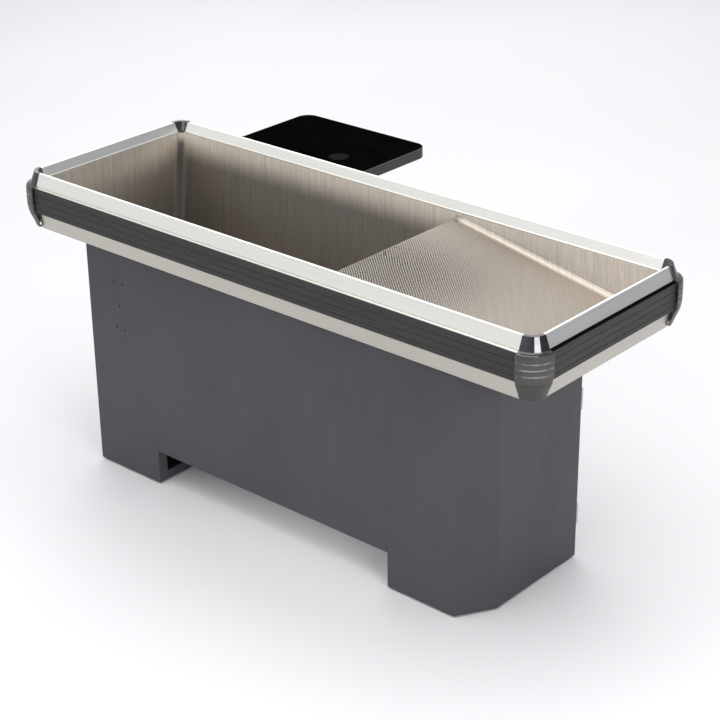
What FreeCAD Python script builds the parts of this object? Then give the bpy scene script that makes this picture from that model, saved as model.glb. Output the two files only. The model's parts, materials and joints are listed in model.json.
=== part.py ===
import FreeCAD, Part
import os
import re
import Sketcher

# Checkout counter. +Z is up and z = 0 is the floor. X runs along the counter with the
# drawer pedestal at +X; the customer stands at -Y and the cashier at +Y. Sections are
# drawn about the middle of the rim and every part carries the same shift in Y, which
# puts the origin under the middle of the whole counter, writing desk included.

SIZES = (
    ("frame_shift", -217.5, "shift of every part in Y"),
    ("length", 1750, "length over the bumpers"),
    ("depth", 614, "depth over the bumpers"),
    ("crest", 914, "height of the rim crest"),
    ("corner_inset", 55, "corner centre behind both outer faces"),
    ("cap_gap", 0.2, "joint between extrusion and corner cap"),
    ("crest_outer", 21.2, "inset of the crest, outer edge"),
    ("crest_inner", 28.1, "inset of the crest, inner edge"),
    ("face_foot", 8.7, "inset of the outer face at its foot"),
    ("face_foot_height", 881.5, "height of the foot of the outer face"),
    ("lip_inset", 39.3, "inset of the inner face at its foot"),
    ("lip_height", 891.2, "height of the foot of the inner face"),
    ("bead_inset", 43.9, "inset of the lip bead"),
    ("bead_top", 890.2, "top of the lip bead"),
    ("bead_foot", 887.7, "underside of the lip"),
    ("web_inset", 35, "inset of the inner web"),
    ("web_hollow", 32.4, "inset of the hollow side of the inner web"),
    ("rim_foot", 755.4, "height of the rim underside"),
    ("band_foot", 21.4, "inset of the lower band at its foot"),
    ("band_head", 9.2, "inset of the lower band under the bumper"),
    ("bumper_top", 876.8, "top of the bumper"),
    ("bumper_foot", 806.1, "foot of the bumper"),
    ("seat_inset", 8, "inset of the bumper seat"),
    ("ledge_inset", 2, "inset of the ledge over the bumper"),
    ("ledge_foot", 877.1, "underside of the ledge"),
    ("ledge_head", 880, "top of the ledge"),
    ("shadow_inset", 10.5, "bottom of the shadow groove"),
    ("edge_break", 1, "edge break of the bumper"),
    ("rib_top", 857, "height of the first bumper groove"),
    ("rib_pitch", 18.7, "pitch of the bumper grooves"),
    ("rib_half", 0.8, "half width of a bumper groove"),
    ("rib_depth", 1.4, "depth of a bumper groove"),
    ("barrel_radius", 63, "largest radius of a corner cap"),
    ("cap_foot", 760, "lowest edge of a corner cap"),
    ("cap_crest", 915.5, "top of a corner cap"),
    ("cap_wall", 3.2, "wall of a corner cap"),
    ("cap_shoulder", 880.5, "top of the barrel of a corner cap"),
    ("cap_rib_top", 859.5, "first groove of a corner cap"),
    ("cap_rib_pitch", 15.5, "pitch of the grooves of a corner cap"),
    ("cone_proud", 3.5, "corner cap in front of the rim faces"),
    ("angle_outer", 20, "inset of the corner angle, outer face"),
    ("angle_inner", 30, "inset of the corner angle, inner face"),
    ("angle_leg", 105, "reach of a corner angle from the outer face"),
    ("angle_foot", 820, "underside of the corner angles"),
    ("angle_head", 860, "top of the corner angles"),
    ("corner_screw_height", 840, "height of the corner screws"),
    ("corner_screw_reach", 90, "corner screw from the outer face"),
    ("rail_outer", 35.2, "inset of the frame rails, outer face"),
    ("rail_inner", 60, "inset of the frame rails, inner face"),
    ("rail_foot", 757, "underside of the frame"),
    ("rail_head", 797, "top of the frame rails"),
    ("rail_wall", 2, "wall of the frame tube"),
    ("rail_screw_height", 777, "height of the rail screws"),
    ("rail_screw_reach", 600, "rail screws each side of the middle"),
    ("cross_head", 782, "top of the cross members"),
    ("cross_width", 25, "width of a cross member"),
    ("cross_start", 205, "first cross member"),
    ("cross_pitch", 217.5, "pitch of the cross members"),
    ("tray_inset", 46, "inset of the tray mouth"),
    ("tray_flange", 37, "inset of the outer edge of the tray flange"),
    ("tray_top", 887.7, "top of the tray flange"),
    ("tray_floor", 640, "floor of the deep well"),
    ("tray_gauge", 1.2, "sheet of the tray"),
    ("tray_lean_ends", 0.35, "run of the end walls per rise"),
    ("tray_lean_far", 0.45, "run of the cashier side wall per rise"),
    ("tray_lean_near", 0.47, "run of the customer side wall per rise"),
    ("tray_corner", 28, "corner radius of the tray"),
    ("tray_sweep", 26, "radius between walls and floors"),
    ("ridge_start", 190, "ridge between well and ramp"),
    ("ridge_height", 874, "height of the ridge"),
    ("ridge_radius", 9, "rounding of the ridge"),
    ("ridge_lean", 12, "run of the ridge wall down to the floor"),
    ("ramp_fall", 0.138, "fall of the ramp per run"),
    ("sheet", 1.5, "painted steel sheet"),
    ("skirt_inset", 36, "inset of the upper edge of the skirt"),
    ("skirt_edge", 756.5, "height of the upper edge of the skirt"),
    ("skirt_shelf", 58, "inset of the skirt top flange"),
    ("skirt_fold", 40.2, "inset of the inside of the top fold"),
    ("skirt_fall", 0.725, "fall of the skirt per run"),
    ("skirt_drop", 2, "skirt sheet measured straight down"),
    ("skirt_tongue", 660, "foot of the skirt tongue"),
    ("floor_gap", 6, "clearance of the panels over the floor"),
    ("front_face", -170.3, "customer side face of the panels"),
    ("back_face", 274.4, "cashier side face of the panels"),
    ("body_back", 272.6, "end of the side panels"),
    ("panel_top", 682.3, "top of the front panels"),
    ("back_top", 755, "top of the back panels"),
    ("left_face", -781.5, "left face of the left pedestal"),
    ("left_seam", -535.4, "seam between left pedestal and centre panel"),
    ("left_side_top", 714, "top of the left side panel"),
    ("return_end", -138.3, "end of the return flanges"),
    ("return_top", 630, "top of the return flanges"),
    ("rail_gap", 1, "gap between return flange and bottom rail"),
    ("bottom_rail_top", 32, "top of the bottom rail"),
    ("channel_reach", 25.6, "depth of the bottom and top rails"),
    ("top_rail_foot", 588, "foot of the upper rail of the left pedestal"),
    ("channel_foot", 612, "foot of the tray support channels"),
    ("channel_head", 638.3, "top of the tray support channels"),
    ("channel_width", 40, "width of a tray support channel"),
    ("channel_near", -80, "near tray support channel"),
    ("channel_far", 60, "far tray support channel"),
    ("seam_gap", 0.5, "half of a panel joint"),
    ("hole_centre", -658, "fixing holes, middle"),
    ("hole_height", 526, "fixing holes, middle height"),
    ("hole_reach", 18, "fixing holes, half spacing along X"),
    ("hole_rise", 69, "fixing holes, half spacing in height"),
    ("hole_radius", 3, "fixing holes, radius"),
    ("cable_centre", -690, "cable hole, middle"),
    ("cable_height", 130, "cable hole, height"),
    ("cable_hole", 30, "cable hole, radius"),
    ("grommet_bore", 25, "bore of the cable grommet"),
    ("grommet_flange", 35, "flange radius of the cable grommet"),
    ("grommet_sleeve", 29.9, "sleeve radius of the cable grommet"),
    ("base_foot", 32.2, "underside of the base plates"),
    ("base_head", 33.7, "top of the base plates"),
    ("left_shelf", 331.5, "top of the left shelf"),
    ("shelf_lip", 21, "lip of the shelves"),
    ("post_side", 25, "side of the posts"),
    ("centre_foot", 108.2, "foot of the centre panel"),
    ("hem", 20, "hem of the centre panel"),
    ("right_seam", 323.5, "seam between centre panel and right pedestal"),
    ("chamfer_start", 543.7, "start of the chamfered corner"),
    ("right_face", 603.5, "right face of the right pedestal"),
    ("chamfer_end", -69.3, "end of the chamfered corner"),
    ("chamfer_start_inner", 542.85, "inside of the chamfer at the front"),
    ("chamfer_end_inner", -68.9, "inside of the chamfer at the side"),
    ("side_top", 754, "top of the right side panels"),
    ("strike_reach", 26, "reach of the door strike flange"),
    ("strike_near", 252, "inner face of the door strike flange"),
    ("strike_head", 548, "top of the door strike flange"),
    ("right_shelf", 301.5, "top of the right shelf"),
    ("divider_top", 555.5, "top of the drawer divider"),
    ("front_near", 256.4, "inner edge of door and drawer front"),
    ("door_foot", 38, "foot of the door"),
    ("door_head", 552, "head of the door"),
    ("door_start", 328, "free edge of the door"),
    ("door_end", 597.5, "hinge edge of the door"),
    ("drawer_front_foot", 558, "foot of the drawer front"),
    ("drawer_front_head", 678, "head of the drawer front"),
    ("drawer_front_end", 599, "end of the drawer front"),
    ("drawer_start", 339.5, "drawer box, side nearest the centre"),
    ("drawer_end", 587.5, "drawer box, outer side"),
    ("drawer_near", -55, "drawer box, rear wall"),
    ("drawer_foot", 565, "drawer box, underside"),
    ("drawer_head", 645, "drawer box, top edge"),
    ("drawer_gauge", 1.2, "sheet of the drawer box"),
    ("runner_mirror", 927, "sum of mirrored runner positions"),
    ("runner_near", -45, "inner end of the runners"),
    ("runner_far", 255, "outer end of the runners"),
    ("handle_half", 53, "half length of a handle"),
    ("handle_bar", 10, "bar width of a handle"),
    ("handle_out", 300, "outer face of a handle"),
    ("handle_soft", 2.5, "edge rounding of a handle"),
    ("handle_hole", 2.6, "radius of a handle stud hole"),
    ("handle_stud", 2.5, "radius of a handle stud"),
    ("handle_nut", 5, "radius of a handle nut"),
    ("drawer_middle", 463.5, "middle of the drawer"),
    ("drawer_handle_height", 616, "height of the drawer handle"),
    ("drawer_lock_height", 656, "height of the drawer lock"),
    ("door_handle_place", 372, "door handle and lock"),
    ("door_handle_height", 430, "height of the door handle"),
    ("door_lock_height", 515, "height of the door lock"),
    ("lock_sleeve", 8, "radius of a lock housing"),
    ("lock_flange", 11, "radius of a lock flange"),
    ("lock_bore", 5.1, "bore of a lock housing"),
    ("lock_plug", 5, "radius of a lock plug"),
    ("lock_rear", 254.6, "rear end of a lock housing"),
    ("cam_reach", 36, "reach of a lock cam"),
    ("cam_half", 5.5, "half width of a lock cam"),
    ("hinge_x", 599.75, "hinge axis"),
    ("hinge_y", 278.4, "hinge axis"),
    ("knuckle", 3.5, "radius of a hinge knuckle"),
    ("pin_radius", 1.6, "radius of a hinge pin"),
    ("pin_bore", 1.65, "bore of a hinge knuckle"),
    ("leaf", 1.5, "thickness of a hinge leaf"),
    ("leaf_near", 250, "inner edge of a hinge leaf"),
    ("leaf_cut", 274.7, "clearance cut of a hinge leaf"),
    ("hinge_low", 100, "foot of the lower hinge"),
    ("hinge_pitch", 340, "pitch of the hinges"),
    ("hinge_height", 60, "height of a hinge"),
    ("knuckle_split", 20, "height of a hinge knuckle"),
    ("knuckle_gap", 0.2, "gap between hinge knuckles"),
    ("foot_radius", 20, "radius of a levelling foot"),
    ("foot_height", 8, "height of a levelling foot"),
    ("stud_radius", 5, "radius of a foot stud"),
    ("stud_top", 60, "top of a foot stud"),
    ("nut_flat", 8.5, "half width over flats of a foot nut"),
    ("nut_corner", 9.815, "corner radius of a foot nut"),
    ("nut_height", 8, "height of a foot nut"),
    ("desk_left", -782, "left edge of the desk"),
    ("desk_right", -298, "right edge of the desk"),
    ("desk_near", 310, "near edge of the desk"),
    ("desk_far", 750, "far edge of the desk"),
    ("desk_foot", 800, "underside of the desk"),
    ("desk_top", 830, "top of the desk"),
    ("desk_corner", 40, "corner radius of the desk"),
    ("band_gauge", 2, "desk edge band"),
    ("dimple_x", -440, "middle of the desk dimple"),
    ("dimple_y", 513, "middle of the desk dimple"),
    ("dimple_radius", 31, "radius of the desk dimple"),
    ("dimple_depth", 4, "depth of the desk dimple"),
    ("bar_foot", 792, "underside of the desk bars"),
    ("bar_end", -360, "end of the desk bars"),
    ("bar_width", 40, "width of the desk bars"),
    ("bar_first", 400, "first desk bar"),
    ("bar_pitch", 200, "pitch of the desk bars"),
    ("bracket_first", -732, "middle of the left desk bracket"),
    ("bracket_pitch", 149, "pitch of the desk brackets"),
    ("bracket_half", 3, "half thickness of a bracket web"),
    ("bracket_flange", 20, "half width of a bracket flange"),
    ("bracket_gauge", 5.6, "thickness of a bracket flange"),
    ("bracket_foot", 560, "foot of a bracket"),
    ("bracket_shoulder", 748, "top of the bracket foot flange"),
    ("bracket_out", 314, "bracket riser behind the rim"),
    ("bracket_end", 690, "end of a bracket"),
    ("bolt_side", 12, "bracket bolts each side of the web"),
    ("bolt_low", 590, "lower bracket bolts"),
    ("bolt_high", 720, "upper bracket bolts"),
    ("flush", 0, "on the plane itself"),
    ("overrun", 5, "reach of a cut past the sheet it goes through"),
    ("screw_shank", 2.5, "radius of a screw"),
    ("screw_pilot", 2.55, "radius of a tapped hole"),
    ("screw_hole", 2.7, "radius of a screw's clearance hole"),
    ("screw_head", 4.5, "radius of a screw's head"),
    ("rivet_hole", 2.45, "radius of a rivet hole"),
    ("rivet_head", 4.6, "radius of a rivet's head"),
    ("rivet_tail", 3.6, "radius of a rivet's set end"),
    ("bolt_hole", 4.25, "radius of a bracket bolt's hole"),
    ("bolt_head", 6.5, "radius of a bracket bolt's head and nut"),
    ("feet_front", -130, "feet at the customer's side"),
    ("feet_back", 225, "feet at the cashier's side"),
    ("feet_left_outer", -750, "outer feet of the left pedestal"),
    ("feet_left_inner", -600, "inner feet of the left pedestal"),
    ("feet_right_inner", 355, "inner feet of the right pedestal"),
    ("feet_right_front", 515, "outer front foot, behind the chamfer"),
    ("feet_right_back", 570, "outer back foot of the right pedestal"),
    ("runner_foot", 588, "underside of the drawer runners"),
    ("runner_head", 623, "top of the drawer runners"),
    ("runner_skin", 1.4, "sheet of the runners"),
    ("runner_play", 1.8, "middle member inside the outer ones, each way"),
    ("runner_outer", 325.1, "side of the fixed member"),
    ("runner_fixed_web", 326.5, "inner face of the fixed member's web"),
    ("runner_fixed_lip", 331, "end of the fixed member's flanges"),
    ("runner_moving_web", 338.1, "inner face of the moving member's web"),
    ("runner_moving_lip", 333.6, "end of the moving member's flanges"),
    ("runner_middle_start", 327.2, "near flange of the middle member"),
    ("runner_web_near", 331.6, "web of the middle member, near face"),
    ("runner_web_far", 332.8, "web of the middle member, far face"),
    ("runner_middle_end", 337.2, "far flange of the middle member"),
)

doc = FreeCAD.newDocument("checkout_counter")
dims = doc.addObject("Spreadsheet::Sheet", "Dims")
for row, (name, value, note) in enumerate(SIZES, start=1):
    dims.set("A%d" % row, note)
    dims.set("B%d" % row, str(value))
    dims.setAlias("B%d" % row, name)
doc.recompute()
parts = []


def link(item, prop, text):
    """Bind a property to an expression written with the names in the sheet."""
    item.setExpression(prop, re.sub(r"[a-z][a-z_]*", r"Dims.\g<0>", text))


def size(name):
    return float(getattr(dims, name))


def new_body(label):
    body = doc.addObject("PartDesign::Body", label)
    link(body, "Placement.Base.y", "frame_shift")
    parts.append(body)
    return body


def pin_point(sketch, item, point, across, up):
    """Hold one sketch point at an expression for each coordinate."""
    if across == "0":
        sketch.addConstraint(Sketcher.Constraint("PointOnObject", item, point, -2))
    else:
        at = sketch.addConstraint(Sketcher.Constraint("DistanceX", -1, 1, item, point, 1.0))
        link(sketch, "Constraints[%d]" % at, across)
    at = sketch.addConstraint(Sketcher.Constraint("DistanceY", -1, 1, item, point, 1.0))
    link(sketch, "Constraints[%d]" % at, up)


def add_circle(sketch, across, up, radius):
    centre = FreeCAD.Vector(1, 1, 0)
    item = sketch.addGeometry(Part.Circle(centre, FreeCAD.Vector(0, 0, 1), 1.0), False)
    pin_point(sketch, item, 3, across, up)
    at = sketch.addConstraint(Sketcher.Constraint("Radius", item, 1.0))
    link(sketch, "Constraints[%d]" % at, radius)


def add_outline(sketch, points):
    """A closed outline through points, each coordinate an expression."""
    first = sketch.GeometryCount
    count = len(points)
    corners = [FreeCAD.Vector(5 + n, 5 + n * n, 0) for n in range(count)]
    for n in range(count):
        line = Part.LineSegment(corners[n], corners[(n + 1) % count])
        sketch.addGeometry(line, False)
    for n in range(count):
        follower = first + (n + 1) % count
        sketch.addConstraint(Sketcher.Constraint("Coincident", first + n, 2, follower, 1))
    for n, (across, up) in enumerate(points):
        pin_point(sketch, first + n, 1, across, up)


def add_sketch(body, plane, offset, loops):
    """A sketch parallel to one origin plane; a loop is an outline or a circle."""
    sketch = body.newObject("Sketcher::SketchObject", "Sketch")
    support = [item for item in body.Origin.OriginFeatures if item.Role == plane][0]
    sketch.AttachmentSupport = [(support, "")]
    sketch.MapMode = "FlatFace"
    link(sketch, "AttachmentOffset.Base.z", offset)
    for loop in loops:
        if isinstance(loop[0], str):
            add_circle(sketch, *loop)
        else:
            add_outline(sketch, loop)
    return sketch


def extrude(body, kind, plane, offset, length, loops):
    sketch = add_sketch(body, plane, offset, loops)
    feature = body.newObject("PartDesign::" + kind, kind)
    feature.Profile = sketch
    link(feature, "Length", length)
    body.Tip = feature
    return feature


def pad_x(body, low, high, loops):
    return extrude(body, "Pad", "YZ_Plane", low, "(%s) - (%s)" % (high, low), loops)


def pad_y(body, low, high, loops):
    return extrude(body, "Pad", "XZ_Plane", "-(%s)" % high, "(%s) - (%s)" % (high, low), loops)


def pad_z(body, low, high, loops):
    return extrude(body, "Pad", "XY_Plane", low, "(%s) - (%s)" % (high, low), loops)


def cut_x(body, low, high, loops):
    return extrude(body, "Pocket", "YZ_Plane", high, "(%s) - (%s)" % (high, low), loops)


def cut_y(body, low, high, loops):
    return extrude(body, "Pocket", "XZ_Plane", "-(%s)" % low, "(%s) - (%s)" % (high, low), loops)


def cut_z(body, low, high, loops):
    return extrude(body, "Pocket", "XY_Plane", high, "(%s) - (%s)" % (high, low), loops)


def rect(left, right, low, high):
    return [(left, low), (right, low), (right, high), (left, high)]


def soften(body, radius, wanted):
    """Round the edges of the last feature picked by a test on the edge."""
    doc.recompute()
    base = body.Tip
    names = ["Edge%d" % n for n, edge in enumerate(base.Shape.Edges, start=1) if wanted(edge)]
    fillet = body.newObject("PartDesign::Fillet", "Fillet")
    fillet.Base = (base, names)
    link(fillet, "Radius", radius)
    body.Tip = fillet


def inset_from(side, inset):
    """Coordinate of a point inside the rim, measured from one outer face."""
    span = "length" if side in ("left", "right") else "depth"
    if side in ("left", "front"):
        return "(%s) - %s / 2" % (inset, span)
    return "%s / 2 - (%s)" % (span, inset)


def section(side, points):
    return [(inset_from(side, inset), height) for inset, height in points]


# ------------------------------------------------------------------ rim

RIM_OUTLINE = (
    ("crest_outer", "crest"),
    ("crest_inner", "crest"),
    ("lip_inset", "lip_height"),
    ("bead_inset", "bead_top"),
    ("bead_inset", "bead_foot"),
    ("web_inset", "bead_foot"),
    ("web_inset", "rim_foot"),
    ("band_foot", "rim_foot"),
    ("band_head", "bumper_foot"),
    ("seat_inset", "bumper_foot"),
    ("seat_inset", "ledge_foot"),
    ("ledge_inset", "ledge_foot"),
    ("ledge_inset", "ledge_head"),
    ("shadow_inset", "ledge_head"),
    ("shadow_inset", "face_foot_height"),
    ("face_foot", "face_foot_height"),
)
RIM_HOLLOWS = (
    (
        ("crest_outer - 0.4", "crest - 9"),
        ("crest_inner + 1.1", "crest - 9"),
        ("web_hollow", "lip_height + 1.8"),
        ("web_hollow", "face_foot_height + 2.5"),
        ("shadow_inset + 2.7", "face_foot_height + 2.5"),
    ),
    (
        ("seat_inset + 3", "ledge_foot - 0.6"),
        ("web_hollow", "ledge_foot - 0.6"),
        ("web_hollow", "bumper_foot + 3"),
        ("seat_inset + 4", "bumper_foot + 3"),
    ),
    (
        ("band_head + 3", "bumper_foot - 0.4"),
        ("web_hollow", "bumper_foot - 0.4"),
        ("web_hollow", "rim_foot + 2.6"),
        ("band_foot + 2.2", "rim_foot + 2.6"),
    ),
)


def end_of(span):
    return "%s / 2 - corner_inset - cap_gap" % span


def rim_profiles(label, sides, span, pad):
    """Two hollow aluminium extrusions that face each other."""
    body = new_body(label)
    for side in sides:
        loops = [section(side, RIM_OUTLINE)] + [section(side, hole) for hole in RIM_HOLLOWS]
        pad(body, "-(%s)" % end_of(span), end_of(span), loops)
    return body


def bumper_outline():
    points = [("seat_inset", "bumper_foot"), ("seat_inset", "bumper_top")]
    points += [("edge_break", "bumper_top"), ("flush", "bumper_top - edge_break")]
    for n in range(3):
        middle = "rib_top - %d * rib_pitch" % n
        points += [("flush", middle + " + rib_half"), ("rib_depth", middle + " + rib_half")]
        points += [("rib_depth", middle + " - rib_half"), ("flush", middle + " - rib_half")]
    points += [("flush", "bumper_foot + edge_break"), ("edge_break", "bumper_foot")]
    return points


def bumpers(label, sides, span, pad):
    """Two grooved bumper strips that face each other."""
    body = new_body(label)
    for side in sides:
        pad(body, "-(%s)" % end_of(span), end_of(span), [section(side, bumper_outline())])


BARREL_TAPER = (
    (1.1, 55), (2.8, 46), (4.9, 39), (7.6, 32), (10.8, 25), (13.6, 18), (16.4, 11), (18.8, 4),
)


def cap_outline():
    """Half section of a moulded corner cap, radius and height."""
    points = [("corner_inset - crest_inner", "cap_crest")]
    points += [("corner_inset - crest_outer + cone_proud", "cap_crest")]
    points += [("corner_inset - face_foot + cone_proud", "face_foot_height + 0.8")]
    points += [("barrel_radius - 8.5", "cap_shoulder"), ("barrel_radius - 4", "cap_shoulder - 0.6")]
    points += [("barrel_radius - 1.6", "cap_shoulder - 3"), ("barrel_radius - 0.6", "cap_shoulder - 8")]
    for n in range(3):
        middle = "cap_rib_top - %d * cap_rib_pitch" % n
        points += [("barrel_radius", middle + " + 1.2"), ("barrel_radius - 1.7", middle + " + 0.8")]
        points += [("barrel_radius - 1.7", middle + " - 0.4"), ("barrel_radius", middle + " - 2.2")]
    points += [("barrel_radius - %s" % shrink, "cap_foot + %s" % rise) for shrink, rise in BARREL_TAPER]
    points += [("barrel_radius - 20.4", "cap_foot"), ("corner_inset - band_foot", "cap_foot")]
    points += [("corner_inset - band_foot", "cap_foot + cap_wall")]
    points += [
        ("barrel_radius - cap_wall - %s" % shrink, "cap_foot + cap_wall / 3 + %s" % rise)
        for shrink, rise in BARREL_TAPER[::-1]
    ]
    points += [("barrel_radius - cap_wall - 1.7", "cap_shoulder - 6")]
    points += [("barrel_radius - cap_wall - 6", "cap_shoulder - 3.2")]
    points += [("corner_inset - face_foot + cone_proud - cap_wall", "cap_shoulder - 2.4")]
    points += [("corner_inset - crest_outer + cone_proud - cap_wall", "crest - 4.5")]
    points += [("corner_inset - crest_inner + 1.5", "crest - 4.5")]
    points += [("corner_inset - 38", "bead_foot"), ("corner_inset - bead_inset", "bead_foot")]
    points += [("corner_inset - bead_inset", "bead_top"), ("corner_inset - lip_inset", "lip_height")]
    return points


def corner_cap(label, turn, sign_x, sign_y):
    """Moulded cap, a quarter turn about the vertical line inside each corner."""
    body = new_body(label)
    sketch = add_sketch(body, "XZ_Plane", "flush", [cap_outline()])
    feature = body.newObject("PartDesign::Revolution", "Quarter")
    feature.Profile = sketch
    feature.ReferenceAxis = (sketch, ["V_Axis"])
    feature.Angle = 90
    body.Tip = feature
    link(body, "Placement.Base.x", "%s (length / 2 - corner_inset)" % sign_x)
    link(body, "Placement.Base.y", "frame_shift %s (depth / 2 - corner_inset)" % sign_y)
    body.Placement.Rotation = FreeCAD.Rotation(FreeCAD.Vector(0, 0, 1), turn)


def corner_angle(sign_x, sign_y):
    def place(along_x, along_y):
        return (
            "%s (length / 2 - (%s))" % (sign_x, along_x),
            "%s (depth / 2 - (%s))" % (sign_y, along_y),
        )
    return [
        place("angle_outer", "angle_outer"),
        place("angle_outer", "angle_leg"),
        place("angle_inner", "angle_leg"),
        place("angle_inner", "angle_inner"),
        place("angle_leg", "angle_inner"),
        place("angle_leg", "angle_outer"),
    ]


SIGNS = (("+", "+"), ("-", "+"), ("-", "-"), ("+", "-"))


def signed(sign, text):
    return "%s (%s)" % (sign, text) if sign == "-" else "(%s)" % text


def corner_screw_spots(along, radius):
    """Screw positions on a long or a short side, as circles."""
    reach = "%s / 2 - corner_screw_reach" % along
    return [(signed(sign, reach), "corner_screw_height", radius) for sign in ("+", "-")]


def through_sides(body, low_inset, high_inset, x_loops, y_loops, along_y, along_x):
    """Cut or add the same loops at both long sides and at both short sides."""
    for side in ("front", "back"):
        ends = (inset_from(side, low_inset), inset_from(side, high_inset))
        low, high = ends if side == "front" else ends[::-1]
        if y_loops:
            along_y(body, low, high, y_loops)
    for side in ("left", "right"):
        ends = (inset_from(side, low_inset), inset_from(side, high_inset))
        low, high = ends if side == "left" else ends[::-1]
        if x_loops:
            along_x(body, low, high, x_loops)


def rim_corner_angles():
    body = new_body("rim_corner_angles")
    pad_z(body, "angle_foot", "angle_head", [corner_angle(*signs) for signs in SIGNS])
    through_sides(
        body, "angle_outer + 3", "angle_inner + 1",
        corner_screw_spots("depth", "screw_pilot"), corner_screw_spots("length", "screw_pilot"), cut_y, cut_x,
    )


def rim_corner_screws():
    body = new_body("rim_corner_screws")
    head = ("web_inset", "web_inset + 3", "screw_head")
    shank = ("angle_outer + 4", "web_inset", "screw_shank")
    for low, high, radius in (head, shank):
        through_sides(
            body, low, high,
            corner_screw_spots("depth", radius), corner_screw_spots("length", radius), pad_y, pad_x,
        )


def rail_screw_spots(radius, long_side):
    if long_side:
        return [(signed(s, "rail_screw_reach"), "rail_screw_height", radius) for s in ("+", "-")]
    return [(signed(s, "corner_screw_reach"), "rail_screw_height", radius) for s in ("+", "-")]


def drill_rim(body, long_sides):
    """Screw clearance through the inner web of the extrusions."""
    along = "length" if long_sides else "depth"
    spots = corner_screw_spots(along, "screw_hole") + rail_screw_spots("screw_hole", long_sides)
    if long_sides:
        through_sides(body, "web_hollow - 0.5", "web_inset + 1", [], spots, cut_y, cut_x)
    else:
        through_sides(body, "web_hollow - 0.5", "web_inset + 1", spots, [], cut_y, cut_x)


def frame_rails(label, sides, pad, end, long_sides):
    """Two steel tubes behind the rim."""
    body = new_body(label)
    for side in sides:
        outer = section(side, rect("rail_outer", "rail_inner", "rail_foot", "rail_head"))
        hollow = section(side, rect(
            "rail_outer + rail_wall", "rail_inner - rail_wall",
            "rail_foot + rail_wall", "rail_head - rail_wall",
        ))
        pad(body, "-(%s)" % end, end, [outer, hollow])
    spots = rail_screw_spots("screw_hole", long_sides)
    if long_sides:
        through_sides(body, "rail_outer - 1", "rail_inner + 1", [], spots, cut_y, cut_x)
    else:
        through_sides(body, "rail_outer - 1", "rail_inner + 1", spots, [], cut_y, cut_x)


def frame_rail_screws():
    body = new_body("frame_rail_screws")
    head = ("rail_inner", "rail_inner + 3", "screw_head")
    shank = ("web_inset - 9", "rail_inner", "screw_shank")
    for low, high, radius in (head, shank):
        through_sides(
            body, low, high,
            rail_screw_spots(radius, False), rail_screw_spots(radius, True), pad_y, pad_x,
        )


def frame_cross_members():
    body = new_body("frame_cross_members")
    end = "depth / 2 - rail_inner - cap_gap"
    for n in range(3):
        start = "cross_start + %d * cross_pitch" % n
        outer = rect(start, start + " + cross_width", "rail_foot", "cross_head")
        hollow = rect(
            start + " + rail_wall", start + " + cross_width - rail_wall",
            "rail_foot + rail_wall", "cross_head - rail_wall",
        )
        pad_y(body, "-(%s)" % end, end, [outer, hollow])


# ------------------------------------------------------------------ tray

def face_through(points):
    return Part.Face(Part.makePolygon(points + points[:1]))


def tray_space(skin):
    """The space inside the tray, grown by a sheet thickness on every wall."""
    top = size("tray_top")
    floor = size("tray_floor") - skin
    rise = top - floor
    reach = {}
    for wall, lean in (("ends", "tray_lean_ends"), ("far", "tray_lean_far"), ("near", "tray_lean_near")):
        slope = size(lean)
        start = size("tray_inset") - skin * (1 + slope ** 2) ** 0.5
        reach[wall] = (start, start + slope * rise)
    half_x = size("length") / 2
    half_y = size("depth") / 2
    rings = []
    for level, height in enumerate((top, floor)):
        x = half_x - reach["ends"][level]
        near = -half_y + reach["near"][level]
        far = half_y - reach["far"][level]
        corners = [(-x, near), (x, near), (x, far), (-x, far)]
        points = [FreeCAD.Vector(a, b, height) for a, b in corners]
        rings.append(Part.makePolygon(points + points[:1]))
    block = Part.makeLoft(rings, True, True)
    upright = [e for e in block.Edges if abs(e.Vertexes[0].Z - e.Vertexes[1].Z) > 1]
    block = block.makeFillet(size("tray_corner") + skin, upright)
    step = ramp_block(skin, half_x, half_y)
    space = block.cut(step)
    low = [e for e in space.Edges if is_sweep_edge(e, top)]
    return space.makeFillet(size("tray_sweep") + skin, low)


def ramp_block(skin, half_x, half_y):
    """Everything under the ramp and the ridge."""
    fall = size("ramp_fall")
    start = size("ridge_start") + skin
    height = size("ridge_height") - skin * (1 + fall ** 2) ** 0.5
    deep = size("tray_floor") - size("tray_sweep") * 3
    run = size("ridge_lean") * (height - deep) / (size("ridge_height") - size("tray_floor"))
    points = [
        FreeCAD.Vector(start, -half_y, height),
        FreeCAD.Vector(half_x, -half_y, height - fall * (half_x - start)),
        FreeCAD.Vector(half_x, -half_y, deep),
        FreeCAD.Vector(start - run, -half_y, deep),
    ]
    block = face_through(points).extrude(FreeCAD.Vector(0, 2 * half_y, 0))
    level = [e for e in block.Edges if e.Vertexes[0].Z == e.Vertexes[-1].Z]
    crest = [e for e in level if abs(e.Vertexes[0].Z - height) < 0.01]
    crest = [e for e in crest if abs(e.Vertexes[0].X - start) < 0.01 and abs(e.Vertexes[1].X - start) < 0.01]
    return block.makeFillet(size("ridge_radius") - skin, crest)


def is_sweep_edge(edge, top):
    """Edges where walls meet the floor of the well or the ramp."""
    box = edge.BoundBox
    flat_floor = box.ZMax < size("tray_floor") + 0.5
    return flat_floor and box.ZMax < top - 1


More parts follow.
